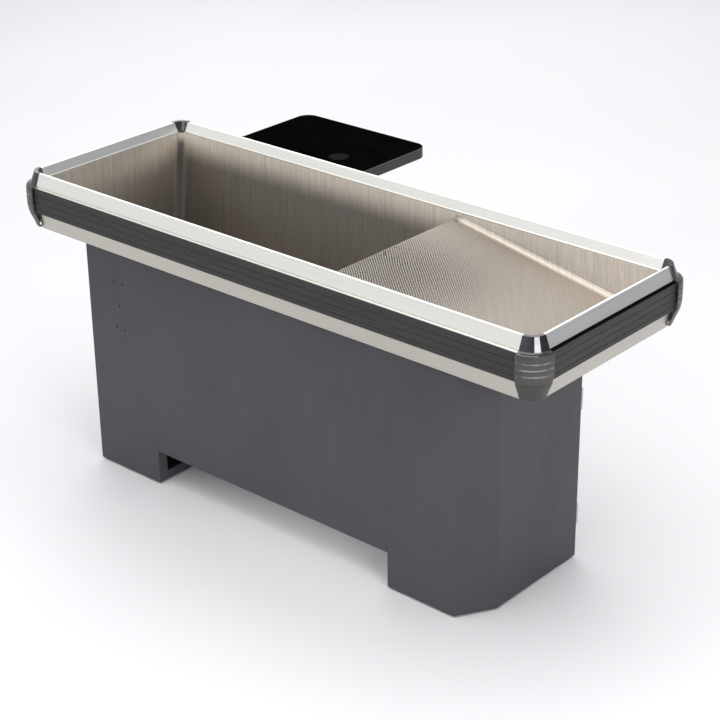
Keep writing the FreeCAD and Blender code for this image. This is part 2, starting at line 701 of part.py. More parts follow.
def tray_liner():
    """One pressed stainless sheet with a hanging flange under the lip."""
    part = doc.addObject("Part::Feature", "tray_liner")
    inner = tray_space(0)
    outer = tray_space(size("tray_gauge"))
    half_x = size("length") / 2 - size("tray_flange")
    half_y = size("depth") / 2 - size("tray_flange")
    gauge = size("tray_gauge")
    corner = FreeCAD.Vector(-half_x, -half_y, size("tray_top") - gauge)
    flange = Part.makeBox(2 * half_x, 2 * half_y, gauge, corner)
    upright = [e for e in flange.Edges if abs(e.Vertexes[0].Z - e.Vertexes[1].Z) > gauge / 2]
    flange = flange.makeFillet(size("corner_inset") - size("tray_flange"), upright)
    shell = outer.fuse(flange).removeSplitter().cut(inner)
    part.Shape = shell.Solids[0] if shell.Solids else shell
    part.Placement.Base = FreeCAD.Vector(0, size("frame_shift"), 0)
    parts.append(part)


def tray_support_channels():
    """Two folded channels that carry the floor of the well."""
    body = new_body("tray_support_channels")
    loops = []
    for start in ("channel_near", "channel_far"):
        end = start + " + channel_width"
        loops.append([
            (start, "channel_foot"), (start, "channel_head"),
            (end, "channel_head"), (end, "channel_foot"),
            (end + " - sheet", "channel_foot"), (end + " - sheet", "channel_head - sheet"),
            (start + " + sheet", "channel_head - sheet"), (start + " + sheet", "channel_foot"),
        ])
    pad_x(body, "left_seam - channel_reach", "right_seam - seam_gap", loops)


# ------------------------------------------------------------------ skirt under the rim

def skirt_low(inset):
    return "skirt_edge - skirt_fall * ((%s) - skirt_inset)" % inset


def skirt_section(end):
    return [
        ("skirt_inset", "skirt_edge"), ("skirt_inset", "rail_foot"),
        ("skirt_shelf", "rail_foot"), ("skirt_shelf", "rail_foot - sheet"),
        ("skirt_fold", "rail_foot - sheet"),
        (end, skirt_low(end) + " + skirt_drop"), (end, skirt_low(end)),
    ]


FRONT_PLANE = "front_face + depth / 2 + sheet"
LEFT_PLANE = "left_face + length / 2"


def skirt_front():
    body = new_body("skirt_front")
    start = "skirt_inset - length / 2"
    pad_x(body, start, "-(%s)" % start, [section("front", skirt_section(FRONT_PLANE))])
    tongue = [
        (FRONT_PLANE, "skirt_tongue"), (FRONT_PLANE + " + sheet", "skirt_tongue"),
        (FRONT_PLANE + " + sheet", skirt_low(FRONT_PLANE + " + sheet") + " + skirt_drop"),
        (FRONT_PLANE, skirt_low(FRONT_PLANE) + " + skirt_drop"),
    ]
    pad_x(body, "left_face + 2 * sheet", "chamfer_start - 4", [section("front", tongue)])
    near = "skirt_inset - 6 - depth / 2"
    end = "140 - depth / 2"
    cut_z(body, "panel_top - 60", "rail_foot + overrun", [
        [
            ("skirt_inset - 6 - length / 2", near),
            ("left_face", "left_face + length / 2 - depth / 2"),
            ("left_face + sheet", "left_face + length / 2 - depth / 2"),
            ("left_face + sheet", end), ("skirt_inset - 6 - length / 2", end),
        ],
        [
            ("length / 2 - skirt_inset + 6", near),
            ("length / 2 - 140", end), ("length / 2 - skirt_inset + 6", end),
        ],
    ])


def skirt_left():
    body = new_body("skirt_left")
    near = "skirt_inset - depth / 2"
    pad_y(body, near, "depth / 2 - web_inset - cap_gap", [section("left", skirt_section(LEFT_PLANE))])
    cut_z(body, "left_side_top - 20", "rail_foot + overrun", [[
        ("skirt_inset - 6 - length / 2", "skirt_inset - 6 - depth / 2"),
        ("left_face + 6", "left_face + 6 + length / 2 - depth / 2"),
        ("left_face + 6", "skirt_inset - 6 - depth / 2"),
    ]])
    pad_x(body, "left_face", "left_face + sheet", [[
        ("left_face + length / 2 - depth / 2", skirt_low(LEFT_PLANE)),
        ("left_face + length / 2 - depth / 2", skirt_low(LEFT_PLANE) + " + skirt_drop"),
        ("front_face - cap_gap", skirt_low(LEFT_PLANE) + " + skirt_drop"),
        ("front_face - cap_gap", skirt_low("front_face + depth / 2") + " + skirt_drop"),
    ]])


def skirt_right():
    body = new_body("skirt_right")
    flat = "length / 2 - chamfer_start"
    turn = FRONT_PLANE
    points = skirt_section(turn)[:5] + [
        (turn + " + 0.7", skirt_low(turn) + " + sheet"), (flat, skirt_low(turn) + " + sheet"),
        (flat, skirt_low(turn)), (turn, skirt_low(turn)),
    ]
    near = "skirt_inset - depth / 2"
    pad_y(body, near, "depth / 2 - web_inset - cap_gap", [section("right", points)])
    cut_z(body, "panel_top - 20", "rail_foot + overrun", [
        [
            ("length / 2 - skirt_inset + 6", "skirt_inset - 6 - depth / 2"),
            ("length / 2 - (%s)" % turn, "front_face + sheet"),
            ("chamfer_start - 6", "front_face + sheet"),
            ("chamfer_start - 6", "skirt_inset - 6 - depth / 2"),
        ],
    ])
    cut_z(body, "panel_top - 20", "rail_foot - 3", [
        [
            ("chamfer_start + 0.3", "front_face - 0.1"), ("right_face + 0.3", "chamfer_end - 0.1"),
            ("right_face + 0.3", "depth / 2"), ("chamfer_start - 8", "depth / 2"),
            ("chamfer_start - 8", "front_face - 0.1"),
        ],
    ])


def back_apron():
    """Closing panel under the rim on the cashier side, and the corner sheet at its left."""
    body = new_body("back_apron")
    start = "left_seam + seam_gap"
    pad_y(body, "back_face - sheet", "back_face", [[
        (start, "back_top"), (start, "channel_foot + 18"),
        ("right_seam - seam_gap", "channel_foot + 18"), ("right_seam - seam_gap", "panel_top"),
        ("length / 2 - (%s)" % FRONT_PLANE, "panel_top"),
        ("length / 2 - skirt_inset - 2", "back_top"),
    ]])
    pad_y(body, "back_face - sheet", "back_face", [[
        ("skirt_inset + 2 - length / 2", "back_top"),
        ("left_face - cap_gap", skirt_low(LEFT_PLANE) + " + cap_gap"),
        ("left_face - cap_gap", "back_top"),
    ]])


# ------------------------------------------------------------------ left pedestal

def left_pedestal_shell():
    """Folded sheet: left side, front and return flange."""
    body = new_body("left_pedestal_shell")
    pad_z(body, "floor_gap", "left_side_top", [[
        ("left_face", "body_back"), ("left_face", "front_face"),
        ("left_seam", "front_face"), ("left_seam", "return_end"),
        ("left_seam - sheet", "return_end"), ("left_seam - sheet", "front_face + sheet"),
        ("left_face + sheet", "front_face + sheet"), ("left_face + sheet", "body_back"),
    ]])
    cut_z(body, "panel_top", "left_side_top + overrun", [
        rect("left_face + sheet", "left_seam + overrun", "front_face - overrun", "return_end + overrun"),
    ])
    cut_z(body, "return_top", "panel_top + overrun", [
        rect("left_seam - 2 * sheet", "left_seam + overrun", "front_face + sheet", "return_end + overrun"),
    ])
    spots = [("hole_centre", "hole_height", "hole_radius")]
    for sign_x, sign_z in SIGNS:
        spots.append((
            "hole_centre %s hole_reach" % sign_x, "hole_height %s hole_rise" % sign_z, "hole_radius",
        ))
    cut_y(body, "front_face - overrun", "front_face + overrun", spots)
    cut_x(body, "left_seam - overrun", "left_seam + overrun", rivet_spots("rivet_hole"))


def rivet_spots(radius):
    middle = "(front_face + return_end) / 2"
    return [(middle, "centre_foot + %d" % rise, radius) for rise in (60, 270, 480)]


def left_pedestal_back():
    body = new_body("left_pedestal_back")
    pad_y(body, "back_face - sheet", "back_face", [[
        ("left_face", "back_top"), ("left_face", "floor_gap"),
        ("left_seam", "floor_gap"), ("left_seam", "back_top"),
    ]])
    spots = [("cable_centre", "cable_height", "cable_hole")] + bracket_bolt_spots("bolt_hole")
    cut_y(body, "back_face - overrun", "back_face + overrun", spots)


def cable_grommet():
    body = new_body("cable_grommet")
    spot = ("cable_centre", "cable_height")
    pad_y(body, "back_face", "back_face + 2.5", [spot + ("grommet_flange",), spot + ("grommet_bore",)])
    pad_y(body, "back_face - 12", "back_face", [spot + ("grommet_sleeve",), spot + ("grommet_bore",)])


def open_channel(low, high):
    edge = "left_seam"
    inner = "left_seam - channel_reach"
    return [
        (edge, low), (edge, high), (inner, high), (inner, high + " - sheet"),
        (edge + " - sheet", high + " - sheet"), (edge + " - sheet", low + " + sheet"),
        (inner, low + " + sheet"), (inner, low),
    ]


def left_pedestal_rails():
    body = new_body("left_pedestal_rails")
    pad_y(body, "return_end + rail_gap", "body_back", [open_channel("floor_gap", "bottom_rail_top")])
    pad_y(body, "return_end + rail_gap", "body_back - post_side - 2", [
        open_channel("top_rail_foot", "channel_foot"),
    ])


FEET = (
    ("feet_left_outer", "feet_front"),
    ("feet_left_outer", "feet_back"),
    ("feet_left_inner", "feet_front"),
    ("feet_left_inner", "feet_back"),
    ("feet_right_inner", "feet_front"),
    ("feet_right_front", "feet_front"),
    ("feet_right_inner", "feet_back"),
    ("feet_right_back", "feet_back"),
)


def foot_circles(spots, radius):
    return [(x, y, radius) for x, y in spots]


def left_pedestal_base():
    body = new_body("left_pedestal_base")
    pad_z(body, "base_foot", "base_head", [rect(
        "left_face + sheet + cap_gap", "left_seam - sheet - cap_gap",
        "front_face + sheet + cap_gap", "body_back",
    )])
    cut_z(body, "base_foot - overrun", "base_head + overrun", foot_circles(FEET[:4], "stud_radius + 0.2"))


def left_pedestal_shelf():
    body = new_body("left_pedestal_shelf")
    left = "left_face + sheet + cap_gap"
    right = "left_seam - 5"
    low = "left_shelf - shelf_lip"
    pad_y(body, "front_face + 3 * sheet", "body_back - post_side - 3", [[
        (left, "left_shelf"), (right, "left_shelf"), (right, low), (right + " - sheet", low),
        (right + " - sheet", "left_shelf - sheet"), (left + " + sheet", "left_shelf - sheet"),
        (left + " + sheet", low), (left, low),
    ]])


def left_pedestal_posts():
    body = new_body("left_pedestal_posts")
    starts = ("left_face + 2 * sheet", "left_seam - sheet - cap_gap - post_side")
    low = "body_back - post_side - 0.4"
    high = "body_back - 0.8"
    loops = []
    for start in starts:
        loops.append(rect(start, start + " + post_side", low, high))
        loops.append(rect(
            start + " + rail_wall", start + " + post_side - rail_wall",
            low + " + rail_wall", high + " - rail_wall",
        ))
    pad_z(body, "base_head", "rail_foot", loops)


# ------------------------------------------------------------------ centre

def centre_panel():
    body = new_body("centre_panel")
    left = "left_seam + seam_gap"
    right = "right_seam - seam_gap"
    inner = "front_face + sheet"
    pad_x(body, left, right, [[
        ("front_face", "centre_foot"), ("front_face", "panel_top"), (inner, "panel_top"),
        (inner, "centre_foot + sheet"), (inner + " + hem", "centre_foot + sheet"),
        (inner + " + hem", "centre_foot"),
    ]])
    for edge, far in ((left, left + " + sheet"), (right + " - sheet", right)):
        pad_x(body, edge, far, [rect(inner, "return_end", "centre_foot + sheet", "return_top")])
    cut_x(body, left + " - overrun", left + " + overrun", rivet_spots("rivet_hole"))
    cut_x(body, right + " - overrun", right + " + overrun", rivet_spots("rivet_hole"))


def panel_rivets():
    body = new_body("panel_rivets")
    for face, out in (("left_seam - sheet", "left_seam + seam_gap + sheet"),
                      ("right_seam - seam_gap - sheet", "right_seam + sheet")):
        pad_x(body, face, out, rivet_spots("2.4"))
        pad_x(body, face + " - 1.4", face, rivet_spots("rivet_head"))
        pad_x(body, out, out + " + 2.6", rivet_spots("rivet_tail"))


# ------------------------------------------------------------------ right pedestal

def right_pedestal_shell():
    """Folded sheet: return flange, front, chamfered corner and side."""
    body = new_body("right_pedestal_shell")
    pad_z(body, "floor_gap", "side_top", [[
        ("right_seam", "return_end"), ("right_seam", "front_face"),
        ("chamfer_start", "front_face"), ("right_face", "chamfer_end"),
        ("right_face", "body_back"), ("right_face - sheet", "body_back"),
        ("right_face - sheet", "chamfer_end_inner"), ("chamfer_start_inner", "front_face + sheet"),
        ("right_seam + sheet", "front_face + sheet"), ("right_seam + sheet", "return_end"),
    ]])
    cut_z(body, "panel_top", "side_top + overrun", [
        rect("right_seam - overrun", "right_face + overrun", "front_face - overrun", "chamfer_end_inner"),
    ])
    cut_z(body, "return_top", "panel_top + overrun", [
        rect("right_seam - overrun", "right_seam + 2 * sheet", "front_face + sheet", "return_end + overrun"),
    ])
    cut_x(body, "right_seam - overrun", "right_seam + overrun", rivet_spots("rivet_hole"))


def right_pedestal_inner_side():
    """Inner side with the door strike and the welded cleat under the tray channels."""
    body = new_body("right_pedestal_inner_side")
    inner = "right_seam + sheet"
    pad_z(body, "floor_gap", "side_top", [rect("right_seam", inner, "return_end + rail_gap", "body_back")])
    pad_z(body, "door_foot + 2", "strike_head", [
        rect(inner, inner + " + strike_reach", "strike_near", "strike_near + sheet"),
    ])
    wall = "right_seam"
    pad_y(body, "channel_near - 20", "channel_far + channel_width + 20", [[
        (wall, "channel_foot - 26"), (wall, "channel_foot"),
        (wall + " - 26", "channel_foot"), (wall + " - 26", "channel_foot - sheet"),
        (wall + " - sheet", "channel_foot - sheet"), (wall + " - sheet", "channel_foot - 26"),
    ]])


def chamfered_plan(near, far):
    return [
        ("right_seam + sheet + cap_gap", near), ("chamfer_start_inner - 0.4", near),
        ("right_face - sheet - 0.3", "chamfer_end_inner + 0.2"), ("right_face - sheet - 0.3", far),
        ("right_seam + sheet + cap_gap", far),
    ]


def right_pedestal_base():
    body = new_body("right_pedestal_base")
    near = "front_face + sheet + cap_gap"
    pad_z(body, "base_foot", "base_head", [chamfered_plan(near, "body_back - sheet - 0.3")])
    cut_z(body, "base_foot - overrun", "base_head + overrun", foot_circles(FEET[4:], "stud_radius + 0.2"))


def right_pedestal_plinth():
    body = new_body("right_pedestal_plinth")
    far = "body_back"
    pad_x(body, "right_seam + sheet + cap_gap", "right_face - sheet - 0.3", [[
        (far, "floor_gap"), (far, "bottom_rail_top"), (far + " - hem", "bottom_rail_top"),
        (far + " - hem", "bottom_rail_top - sheet"), (far + " - sheet", "bottom_rail_top - sheet"),
        (far + " - sheet", "floor_gap"),
    ]])


def right_pedestal_shelf():
    body = new_body("right_pedestal_shelf")
    left = "right_seam + sheet + cap_gap"
    right = "right_face - sheet - 0.3"
    low = "right_shelf - shelf_lip"
    pad_y(body, "chamfer_end_inner + 4", "strike_near - 8", [[
        (left, "right_shelf"), (right, "right_shelf"), (right, low), (right + " - sheet", low),
        (right + " - sheet", "right_shelf - sheet"), (left + " + sheet", "right_shelf - sheet"),
        (left + " + sheet", low), (left, low),
    ]])


def drawer_divider():
    body = new_body("drawer_divider")
    pad_z(body, "divider_top - sheet", "divider_top", [
        chamfered_plan("front_face + 3 * sheet", "body_back"),
    ])


def right_pedestal_top_plate():
    body = new_body("right_pedestal_top_plate")
    pad_z(body, "rail_foot - sheet", "rail_foot", [rect(
        "right_seam + cap_gap", "right_face - cap_gap", "chamfer_end_inner", "body_back - 1.2",
    )])


def drawer_lock_strike():
    """Angle behind the apron that the drawer cam turns behind."""
    body = new_body("drawer_lock_strike")
    near = "lock_rear - 1.2"
    pad_x(body, "drawer_middle - 26", "drawer_middle + 26", [[
        (near, "panel_top - 1"), (near, "panel_top + 20"), ("back_face - sheet", "panel_top + 20"),
        ("back_face - sheet", "panel_top + 20 - sheet"), (near + " + sheet", "panel_top + 20 - sheet"),
        (near + " + sheet", "panel_top - 1"),
    ]])


# ------------------------------------------------------------------ drawer

def drawer_box():
    body = new_body("drawer_box")
    gauge = "drawer_gauge"
    pad_z(body, "drawer_foot", "drawer_head", [
        rect("drawer_start", "drawer_end", "drawer_near", "front_near"),
    ])
    cut_z(body, "drawer_foot + " + gauge, "drawer_head + overrun", [rect(
        "drawer_start + " + gauge, "drawer_end - " + gauge,
        "drawer_near + " + gauge, "front_near - " + gauge,
    )])


def front_pan(body, left, right, low, high, spots):
    """Folded pan, skin outside and flanges turned in."""
    pad_y(body, "front_near", "back_face", [rect(left, right, low, high)])
    cut_y(body, "front_near - overrun", "back_face - sheet", [
        rect(left + " + sheet", right + " - sheet", low + " + sheet", high + " - sheet"),
    ])
    cut_y(body, "back_face - overrun", "back_face + overrun", spots)


def drawer_front():
    body = new_body("drawer_front")
    reach = "handle_half - handle_bar / 2"
    spots = [("drawer_middle %s (%s)" % (s, reach), "drawer_handle_height", "handle_hole") for s in "+-"]
    spots.append(("drawer_middle", "drawer_lock_height", "lock_sleeve + 0.1"))
    front_pan(body, "door_start", "drawer_front_end", "drawer_front_foot", "drawer_front_head", spots)


def handle_outline(middle, across_first):
    """A squared bow, drawn standing off the outer face."""
    low = "%s - handle_half" % middle
    high = "%s + handle_half" % middle
    inner = "handle_out - handle_bar + 1"
    points = [
        (low, "back_face"), (low, "handle_out"), (high, "handle_out"), (high, "back_face"),
        (high + " - handle_bar", "back_face"), (high + " - handle_bar", inner),
        (low + " + handle_bar", inner), (low + " + handle_bar", "back_face"),
    ]
    if across_first:
        return points
    return [(out, along) for along, out in points]


def off_wall(edge):
    return edge.BoundBox.YMin > size("back_face") + 1 or edge.BoundBox.YLength > 12


def add_studs(body, spots_of):
    pad_y(body, "back_face - sheet - 6", "back_face", spots_of("handle_stud"))
    pad_y(body, "back_face - sheet - 4", "back_face - sheet", spots_of("handle_nut"))


def drawer_handle():
    body = new_body("drawer_handle")
    pad_z(body, "drawer_handle_height - 6", "drawer_handle_height + 6", [
        handle_outline("drawer_middle", True),
    ])
    soften(body, "handle_soft", off_wall)
    reach = "handle_half - handle_bar / 2"
    add_studs(body, lambda radius: [
        ("drawer_middle %s (%s)" % (s, reach), "drawer_handle_height", radius) for s in "+-"
    ])


def runner_fixed_section():
    return [
        ("runner_outer", "runner_foot"),
        ("runner_outer", "runner_head"),
        ("runner_fixed_lip", "runner_head"),
        ("runner_fixed_lip", "runner_head - runner_skin"),
        ("runner_fixed_web", "runner_head - runner_skin"),
        ("runner_fixed_web", "runner_foot + runner_skin"),
        ("runner_fixed_lip", "runner_foot + runner_skin"),
        ("runner_fixed_lip", "runner_foot"),
    ]


def runner_middle_section():
    return [
        ("runner_middle_start", "runner_foot + runner_play"),
        ("runner_middle_end", "runner_foot + runner_play"),
        ("runner_middle_end", "runner_foot + runner_play + runner_skin"),
        ("runner_web_far", "runner_foot + runner_play + runner_skin"),
        ("runner_web_far", "runner_head - runner_play - runner_skin"),
        ("runner_middle_end", "runner_head - runner_play - runner_skin"),
        ("runner_middle_end", "runner_head - runner_play"),
        ("runner_middle_start", "runner_head - runner_play"),
        ("runner_middle_start", "runner_head - runner_play - runner_skin"),
        ("runner_web_near", "runner_head - runner_play - runner_skin"),
        ("runner_web_near", "runner_foot + runner_play + runner_skin"),
        ("runner_middle_start", "runner_foot + runner_play + runner_skin"),
    ]


def runner_moving_section():
    return [
        ("drawer_start", "runner_foot"),
        ("drawer_start", "runner_head"),
        ("runner_moving_lip", "runner_head"),
        ("runner_moving_lip", "runner_head - runner_skin"),
        ("runner_moving_web", "runner_head - runner_skin"),
        ("runner_moving_web", "runner_foot + runner_skin"),
        ("runner_moving_lip", "runner_foot + runner_skin"),
        ("runner_moving_lip", "runner_foot"),
    ]


def runner_pair(label, outline):
    """The same member left and right of the drawer."""
    body = new_body(label)
    mirrored = [("runner_mirror - %s" % x, z) for x, z in outline]
    pad_y(body, "runner_near", "runner_far", [outline, mirrored])


def lock_body(label, spot):
    body = new_body(label)
    pad_y(body, "back_face", "back_face + 2", [spot + ("lock_flange",), spot + ("lock_bore",)])
    pad_y(body, "lock_rear", "back_face", [spot + ("lock_sleeve",), spot + ("lock_bore",)])


def lock_plug(label, spot, rear, cam):
    """Plug with key slot and a flat cam behind the housing."""
    body = new_body(label)
    across, up = spot
    pad_y(body, rear, "back_face + 2.8", [spot + ("lock_plug",)])
    pad_y(body, rear + " - 2", rear, [cam])
    cut_y(body, "back_face - 1", "back_face + 4", [rect(
        across + " - 0.7", across + " + 0.7", up + " - 3.2", up + " + 3.2",
    )])


# ------------------------------------------------------------------ door

def door_panel():
    body = new_body("door_panel")
    reach = "handle_half - handle_bar / 2"
    spots = [("door_handle_place", "door_handle_height %s (%s)" % (s, reach), "handle_hole") for s in "+-"]
    spots.append(("door_handle_place", "door_lock_height", "lock_sleeve + 0.1"))
    front_pan(body, "door_start", "door_end", "door_foot", "door_head", spots)


def door_handle():
    body = new_body("door_handle")
    pad_x(body, "door_handle_place - 6", "door_handle_place + 6", [
        handle_outline("door_handle_height", False),
    ])
    soften(body, "handle_soft", off_wall)
    reach = "handle_half - handle_bar / 2"
    add_studs(body, lambda radius: [
        ("door_handle_place", "door_handle_height %s (%s)" % (s, reach), radius) for s in "+-"
    ])


def hinge_leaves(label, plate_low, plate_high, outer_knuckles):
    """Two butt hinge leaves with their share of the knuckles."""
    body = new_body(label)
    axis = ("hinge_x", "hinge_y")
    for n in range(2):
        foot = "hinge_low + %d * hinge_pitch" % n
        head = foot + " + hinge_height"
        pad_z(body, foot, head, [rect(plate_low, plate_high, "leaf_near", "hinge_y")])
        split_low = foot + " + knuckle_split"
        split_high = head + " - knuckle_split"
        around = rect("hinge_x - knuckle - 1", "hinge_x + knuckle + 1", "leaf_cut", "hinge_y + knuckle + 1")
        if outer_knuckles:
            pad_z(body, foot, split_low, [axis + ("knuckle",)])
            pad_z(body, split_high, head, [axis + ("knuckle",)])
            cut_z(body, split_low, split_high, [around])
        else:
            low = split_low + " + knuckle_gap"
            high = split_high + " - knuckle_gap"
            pad_z(body, low, high, [axis + ("knuckle",)])
            cut_z(body, foot + " - 1", low, [around])
            cut_z(body, high, head + " + 1", [around])
        cut_z(body, foot + " - 1", head + " + 1", [axis + ("pin_bore",)])


def hinge_pins():
    body = new_body("door_hinge_pins")
    axis = ("hinge_x", "hinge_y")
    for n in range(2):
        foot = "hinge_low + %d * hinge_pitch" % n
        head = foot + " + hinge_height"
        pad_z(body, foot + " - 1", head, [axis + ("pin_radius",)])
        pad_z(body, head, head + " + 1.5", [axis + ("knuckle - 0.7",)])


# ------------------------------------------------------------------ feet

def levelling_feet():
    body = new_body("levelling_feet")
    pad_z(body, "0 * foot_height", "foot_height", foot_circles(FEET, "foot_radius"))
    pad_z(body, "foot_height", "stud_top", foot_circles(FEET, "stud_radius"))
    soften(body, "edge_break * 3", lambda edge: (
        abs(edge.BoundBox.ZMin - size("foot_height")) < 0.1
        and edge.BoundBox.ZLength < 0.1 and edge.BoundBox.XLength > 30
    ))


def hexagon(x, y):
    half = "nut_corner / 2"
    return [
        (x + " - nut_corner", y), (x + " - " + half, y + " - nut_flat"),
        (x + " + " + half, y + " - nut_flat"), (x + " + nut_corner", y),
        (x + " + " + half, y + " + nut_flat"), (x + " - " + half, y + " + nut_flat"),
    ]


def foot_nuts():
    body = new_body("foot_nuts")
    for low in ("base_foot - nut_height", "base_head"):
        loops = [hexagon(x, y) for x, y in FEET] + foot_circles(FEET, "stud_radius + 0.05")
        pad_z(body, low, low + " + nut_height", loops)


# ------------------------------------------------------------------ writing desk

def vertical(edge):
    return edge.BoundBox.ZLength > 20


def desk_plate():
    body = new_body("desk_plate")
    pad_z(body, "desk_foot", "desk_top", [rect(
        "desk_left + band_gauge", "desk_right - band_gauge",
        "desk_near + band_gauge", "desk_far - band_gauge",
    )])
    soften(body, "desk_corner - band_gauge", vertical)
    sketch = add_sketch(body, "XZ_Plane", "-dimple_y", [[
        ("0", "desk_top + 1"), ("0", "desk_top - dimple_depth"),
        ("dimple_radius * 0.4", "desk_top - dimple_depth * 0.84"),
        ("dimple_radius * 0.75", "desk_top - dimple_depth * 0.44"),
        ("dimple_radius", "desk_top"), ("dimple_radius", "desk_top + 1"),
    ]])
    link(sketch, "AttachmentOffset.Base.x", "dimple_x")
    dish = body.newObject("PartDesign::Groove", "Dish")
    dish.Profile = sketch
    dish.ReferenceAxis = (sketch, ["V_Axis"])
    dish.Angle = 360
    body.Tip = dish


def corner_edges(left, right):
    """Upright edges that stand at one of two places along X."""
    places = (size(left[0]) + left[1], size(right[0]) - right[1])

    def wanted(edge):
        box = edge.BoundBox
        slim = box.XLength < 0.1 and box.YLength < 0.1
        return vertical(edge) and slim and min(abs(box.XMin - place) for place in places) < 0.1
    return wanted


def desk_edge_band():
    body = new_body("desk_edge_band")
    pad_z(body, "desk_foot", "desk_top", [rect("desk_left", "desk_right", "desk_near", "desk_far")])
    cut_z(body, "desk_foot - overrun", "desk_top + overrun", [rect(
        "desk_left + band_gauge", "desk_right - band_gauge",
        "desk_near + band_gauge", "desk_far - band_gauge",
    )])
    gauge = size("band_gauge")
    soften(body, "desk_corner - band_gauge", corner_edges(("desk_left", gauge), ("desk_right", gauge)))
    soften(body, "desk_corner", corner_edges(("desk_left", 0), ("desk_right", 0)))


def bracket_middle(n):
    return "bracket_first + %d * bracket_pitch" % n


def desk_brackets():
    """Two welded steel brackets: web, foot flange and top flange."""
    body = new_body("desk_brackets")
    for n in range(2):
        middle = bracket_middle(n)
        pad_x(body, middle + " - bracket_half", middle + " + bracket_half", [[
            ("back_face", "bracket_foot"), ("back_face", "bracket_shoulder"),
            ("bracket_out", "bracket_shoulder"), ("bracket_out", "bar_foot"),
            ("bracket_end", "bar_foot"), ("bracket_end", "bar_foot - 18"),
            ("bar_first + 10", "bracket_shoulder - 20"), ("back_face + 24", "bracket_foot"),
        ]])
        left = middle + " - bracket_flange"
        right = middle + " + bracket_flange"
        pad_y(body, "back_face", "back_face + bracket_gauge", [
            rect(left, right, "bracket_foot", "bracket_shoulder"),
        ])
        pad_z(body, "bar_foot - bracket_gauge", "bar_foot", [rect(left, right, "bracket_out", "bracket_end")])
    cut_y(body, "back_face - overrun", "back_face + 8", bracket_bolt_spots("bolt_hole"))


def bracket_bolt_spots(radius):
    spots = []
    for n in range(2):
        for sign in "+-":
            for height in ("bolt_low", "bolt_high"):
                spots.append(("%s %s bolt_side" % (bracket_middle(n), sign), height, radius))
    return spots


def desk_bracket_bolts():
    body = new_body("desk_bracket_bolts")
    wall = "back_face + bracket_gauge"
    pad_y(body, "back_face - sheet", wall, bracket_bolt_spots("4"))
    pad_y(body, wall, wall + " + overrun", bracket_bolt_spots("bolt_head"))
    pad_y(body, "back_face - sheet - 6", "back_face - sheet", bracket_bolt_spots("bolt_head"))


def desk_bars():
    """Two flat bars under the desk, across the brackets."""
    body = new_body("desk_bars")
    loops = []
    for n in range(2):
        start = "bar_first + %d * bar_pitch" % n
        loops.append(rect("desk_left + 6", "bar_end", start, start + " + bar_width"))
    pad_z(body, "bar_foot", "desk_foot", loops)
    cut_z(body, "bar_foot - 1", "desk_foot + 1", desk_screw_spots("screw_hole"))


def desk_screw_spots(radius):
    spots = []
    for n in range(2):
        for place in ("desk_left + 80", "(desk_left + bar_end) / 2 + 20", "bar_end - 25"):
            spots.append((place, "bar_first + %d * bar_pitch + bar_width / 2" % n, radius))
    return spots


def desk_screws():
    body = new_body("desk_screws")
    pad_z(body, "bar_foot", "desk_foot + 18", desk_screw_spots("screw_shank"))
    pad_z(body, "bar_foot - 3", "bar_foot", desk_screw_spots("screw_head"))


def drill_desk(body):
    cut_z(body, "desk_foot - 1", "desk_foot + 18.5", desk_screw_spots("screw_pilot"))


# ------------------------------------------------------------------ assembly

def build():
    drill_rim(rim_profiles("rim_profiles_long", ("front", "back"), "length", pad_x), True)
    drill_rim(rim_profiles("rim_profiles_short", ("left", "right"), "depth", pad_y), False)
    bumpers("bumpers_long", ("front", "back"), "length", pad_x)
    bumpers("bumpers_short", ("left", "right"), "depth", pad_y)
    corner_cap("corner_cap_back_right", 0, "", "+")
    corner_cap("corner_cap_back_left", 90, "-", "+")
    corner_cap("corner_cap_front_left", 180, "-", "-")
    corner_cap("corner_cap_front_right", 270, "", "-")
    rim_corner_angles()
    rim_corner_screws()
    long_end = "length / 2 - web_inset - 2"
    short_end = "depth / 2 - rail_inner - cap_gap"
    frame_rails("frame_rails_long", ("front", "back"), pad_x, long_end, True)
    frame_rails("frame_rails_short", ("left", "right"), pad_y, short_end, False)
    frame_rail_screws()
    frame_cross_members()
    tray_liner()
    tray_support_channels()
    skirt_front()
    skirt_left()
    skirt_right()
    back_apron()
    left_pedestal_shell()
    left_pedestal_back()
    cable_grommet()
    left_pedestal_rails()
    left_pedestal_base()
    left_pedestal_shelf()
    left_pedestal_posts()
    centre_panel()
    panel_rivets()
    right_pedestal_shell()
    right_pedestal_inner_side()
    right_pedestal_base()
    right_pedestal_plinth()
    right_pedestal_shelf()
    drawer_divider()
    right_pedestal_top_plate()
    drawer_lock_strike()
    drawer_box()
    drawer_front()
    drawer_handle()
    runner_pair("drawer_runner_fixed", runner_fixed_section())
    runner_pair("drawer_runner_middle", runner_middle_section())
    runner_pair("drawer_runner_moving", runner_moving_section())
    spot = ("drawer_middle", "drawer_lock_height")
    lock_body("drawer_lock_body", spot)
    lock_plug("drawer_lock_plug", spot, "lock_rear - 2.4", rect(
        "drawer_middle - cam_half", "drawer_middle + cam_reach",
        "drawer_lock_height - cam_half", "drawer_lock_height + cam_half",
    ))
    door_panel()
    door_handle()
    spot = ("door_handle_place", "door_lock_height")
    lock_body("door_lock_body", spot)
    lock_plug("door_lock_plug", spot, "strike_near - 2", rect(
        "door_handle_place - cam_half", "door_handle_place + cam_half",
        "door_lock_height - cam_reach", "door_lock_height + cam_half",
    ))
    hinge_leaves("door_hinge_fixed_leaves", "right_face - sheet - leaf", "right_face - sheet", True)
    hinge_leaves("door_hinge_moving_leaves", "door_end", "door_end + leaf", False)
    hinge_pins()
    levelling_feet()
    foot_nuts()
    desk_plate()
    drill_desk(parts[-1])
    desk_edge_band()
    desk_brackets()
    desk_bracket_bolts()
    desk_bars()
    desk_screws()


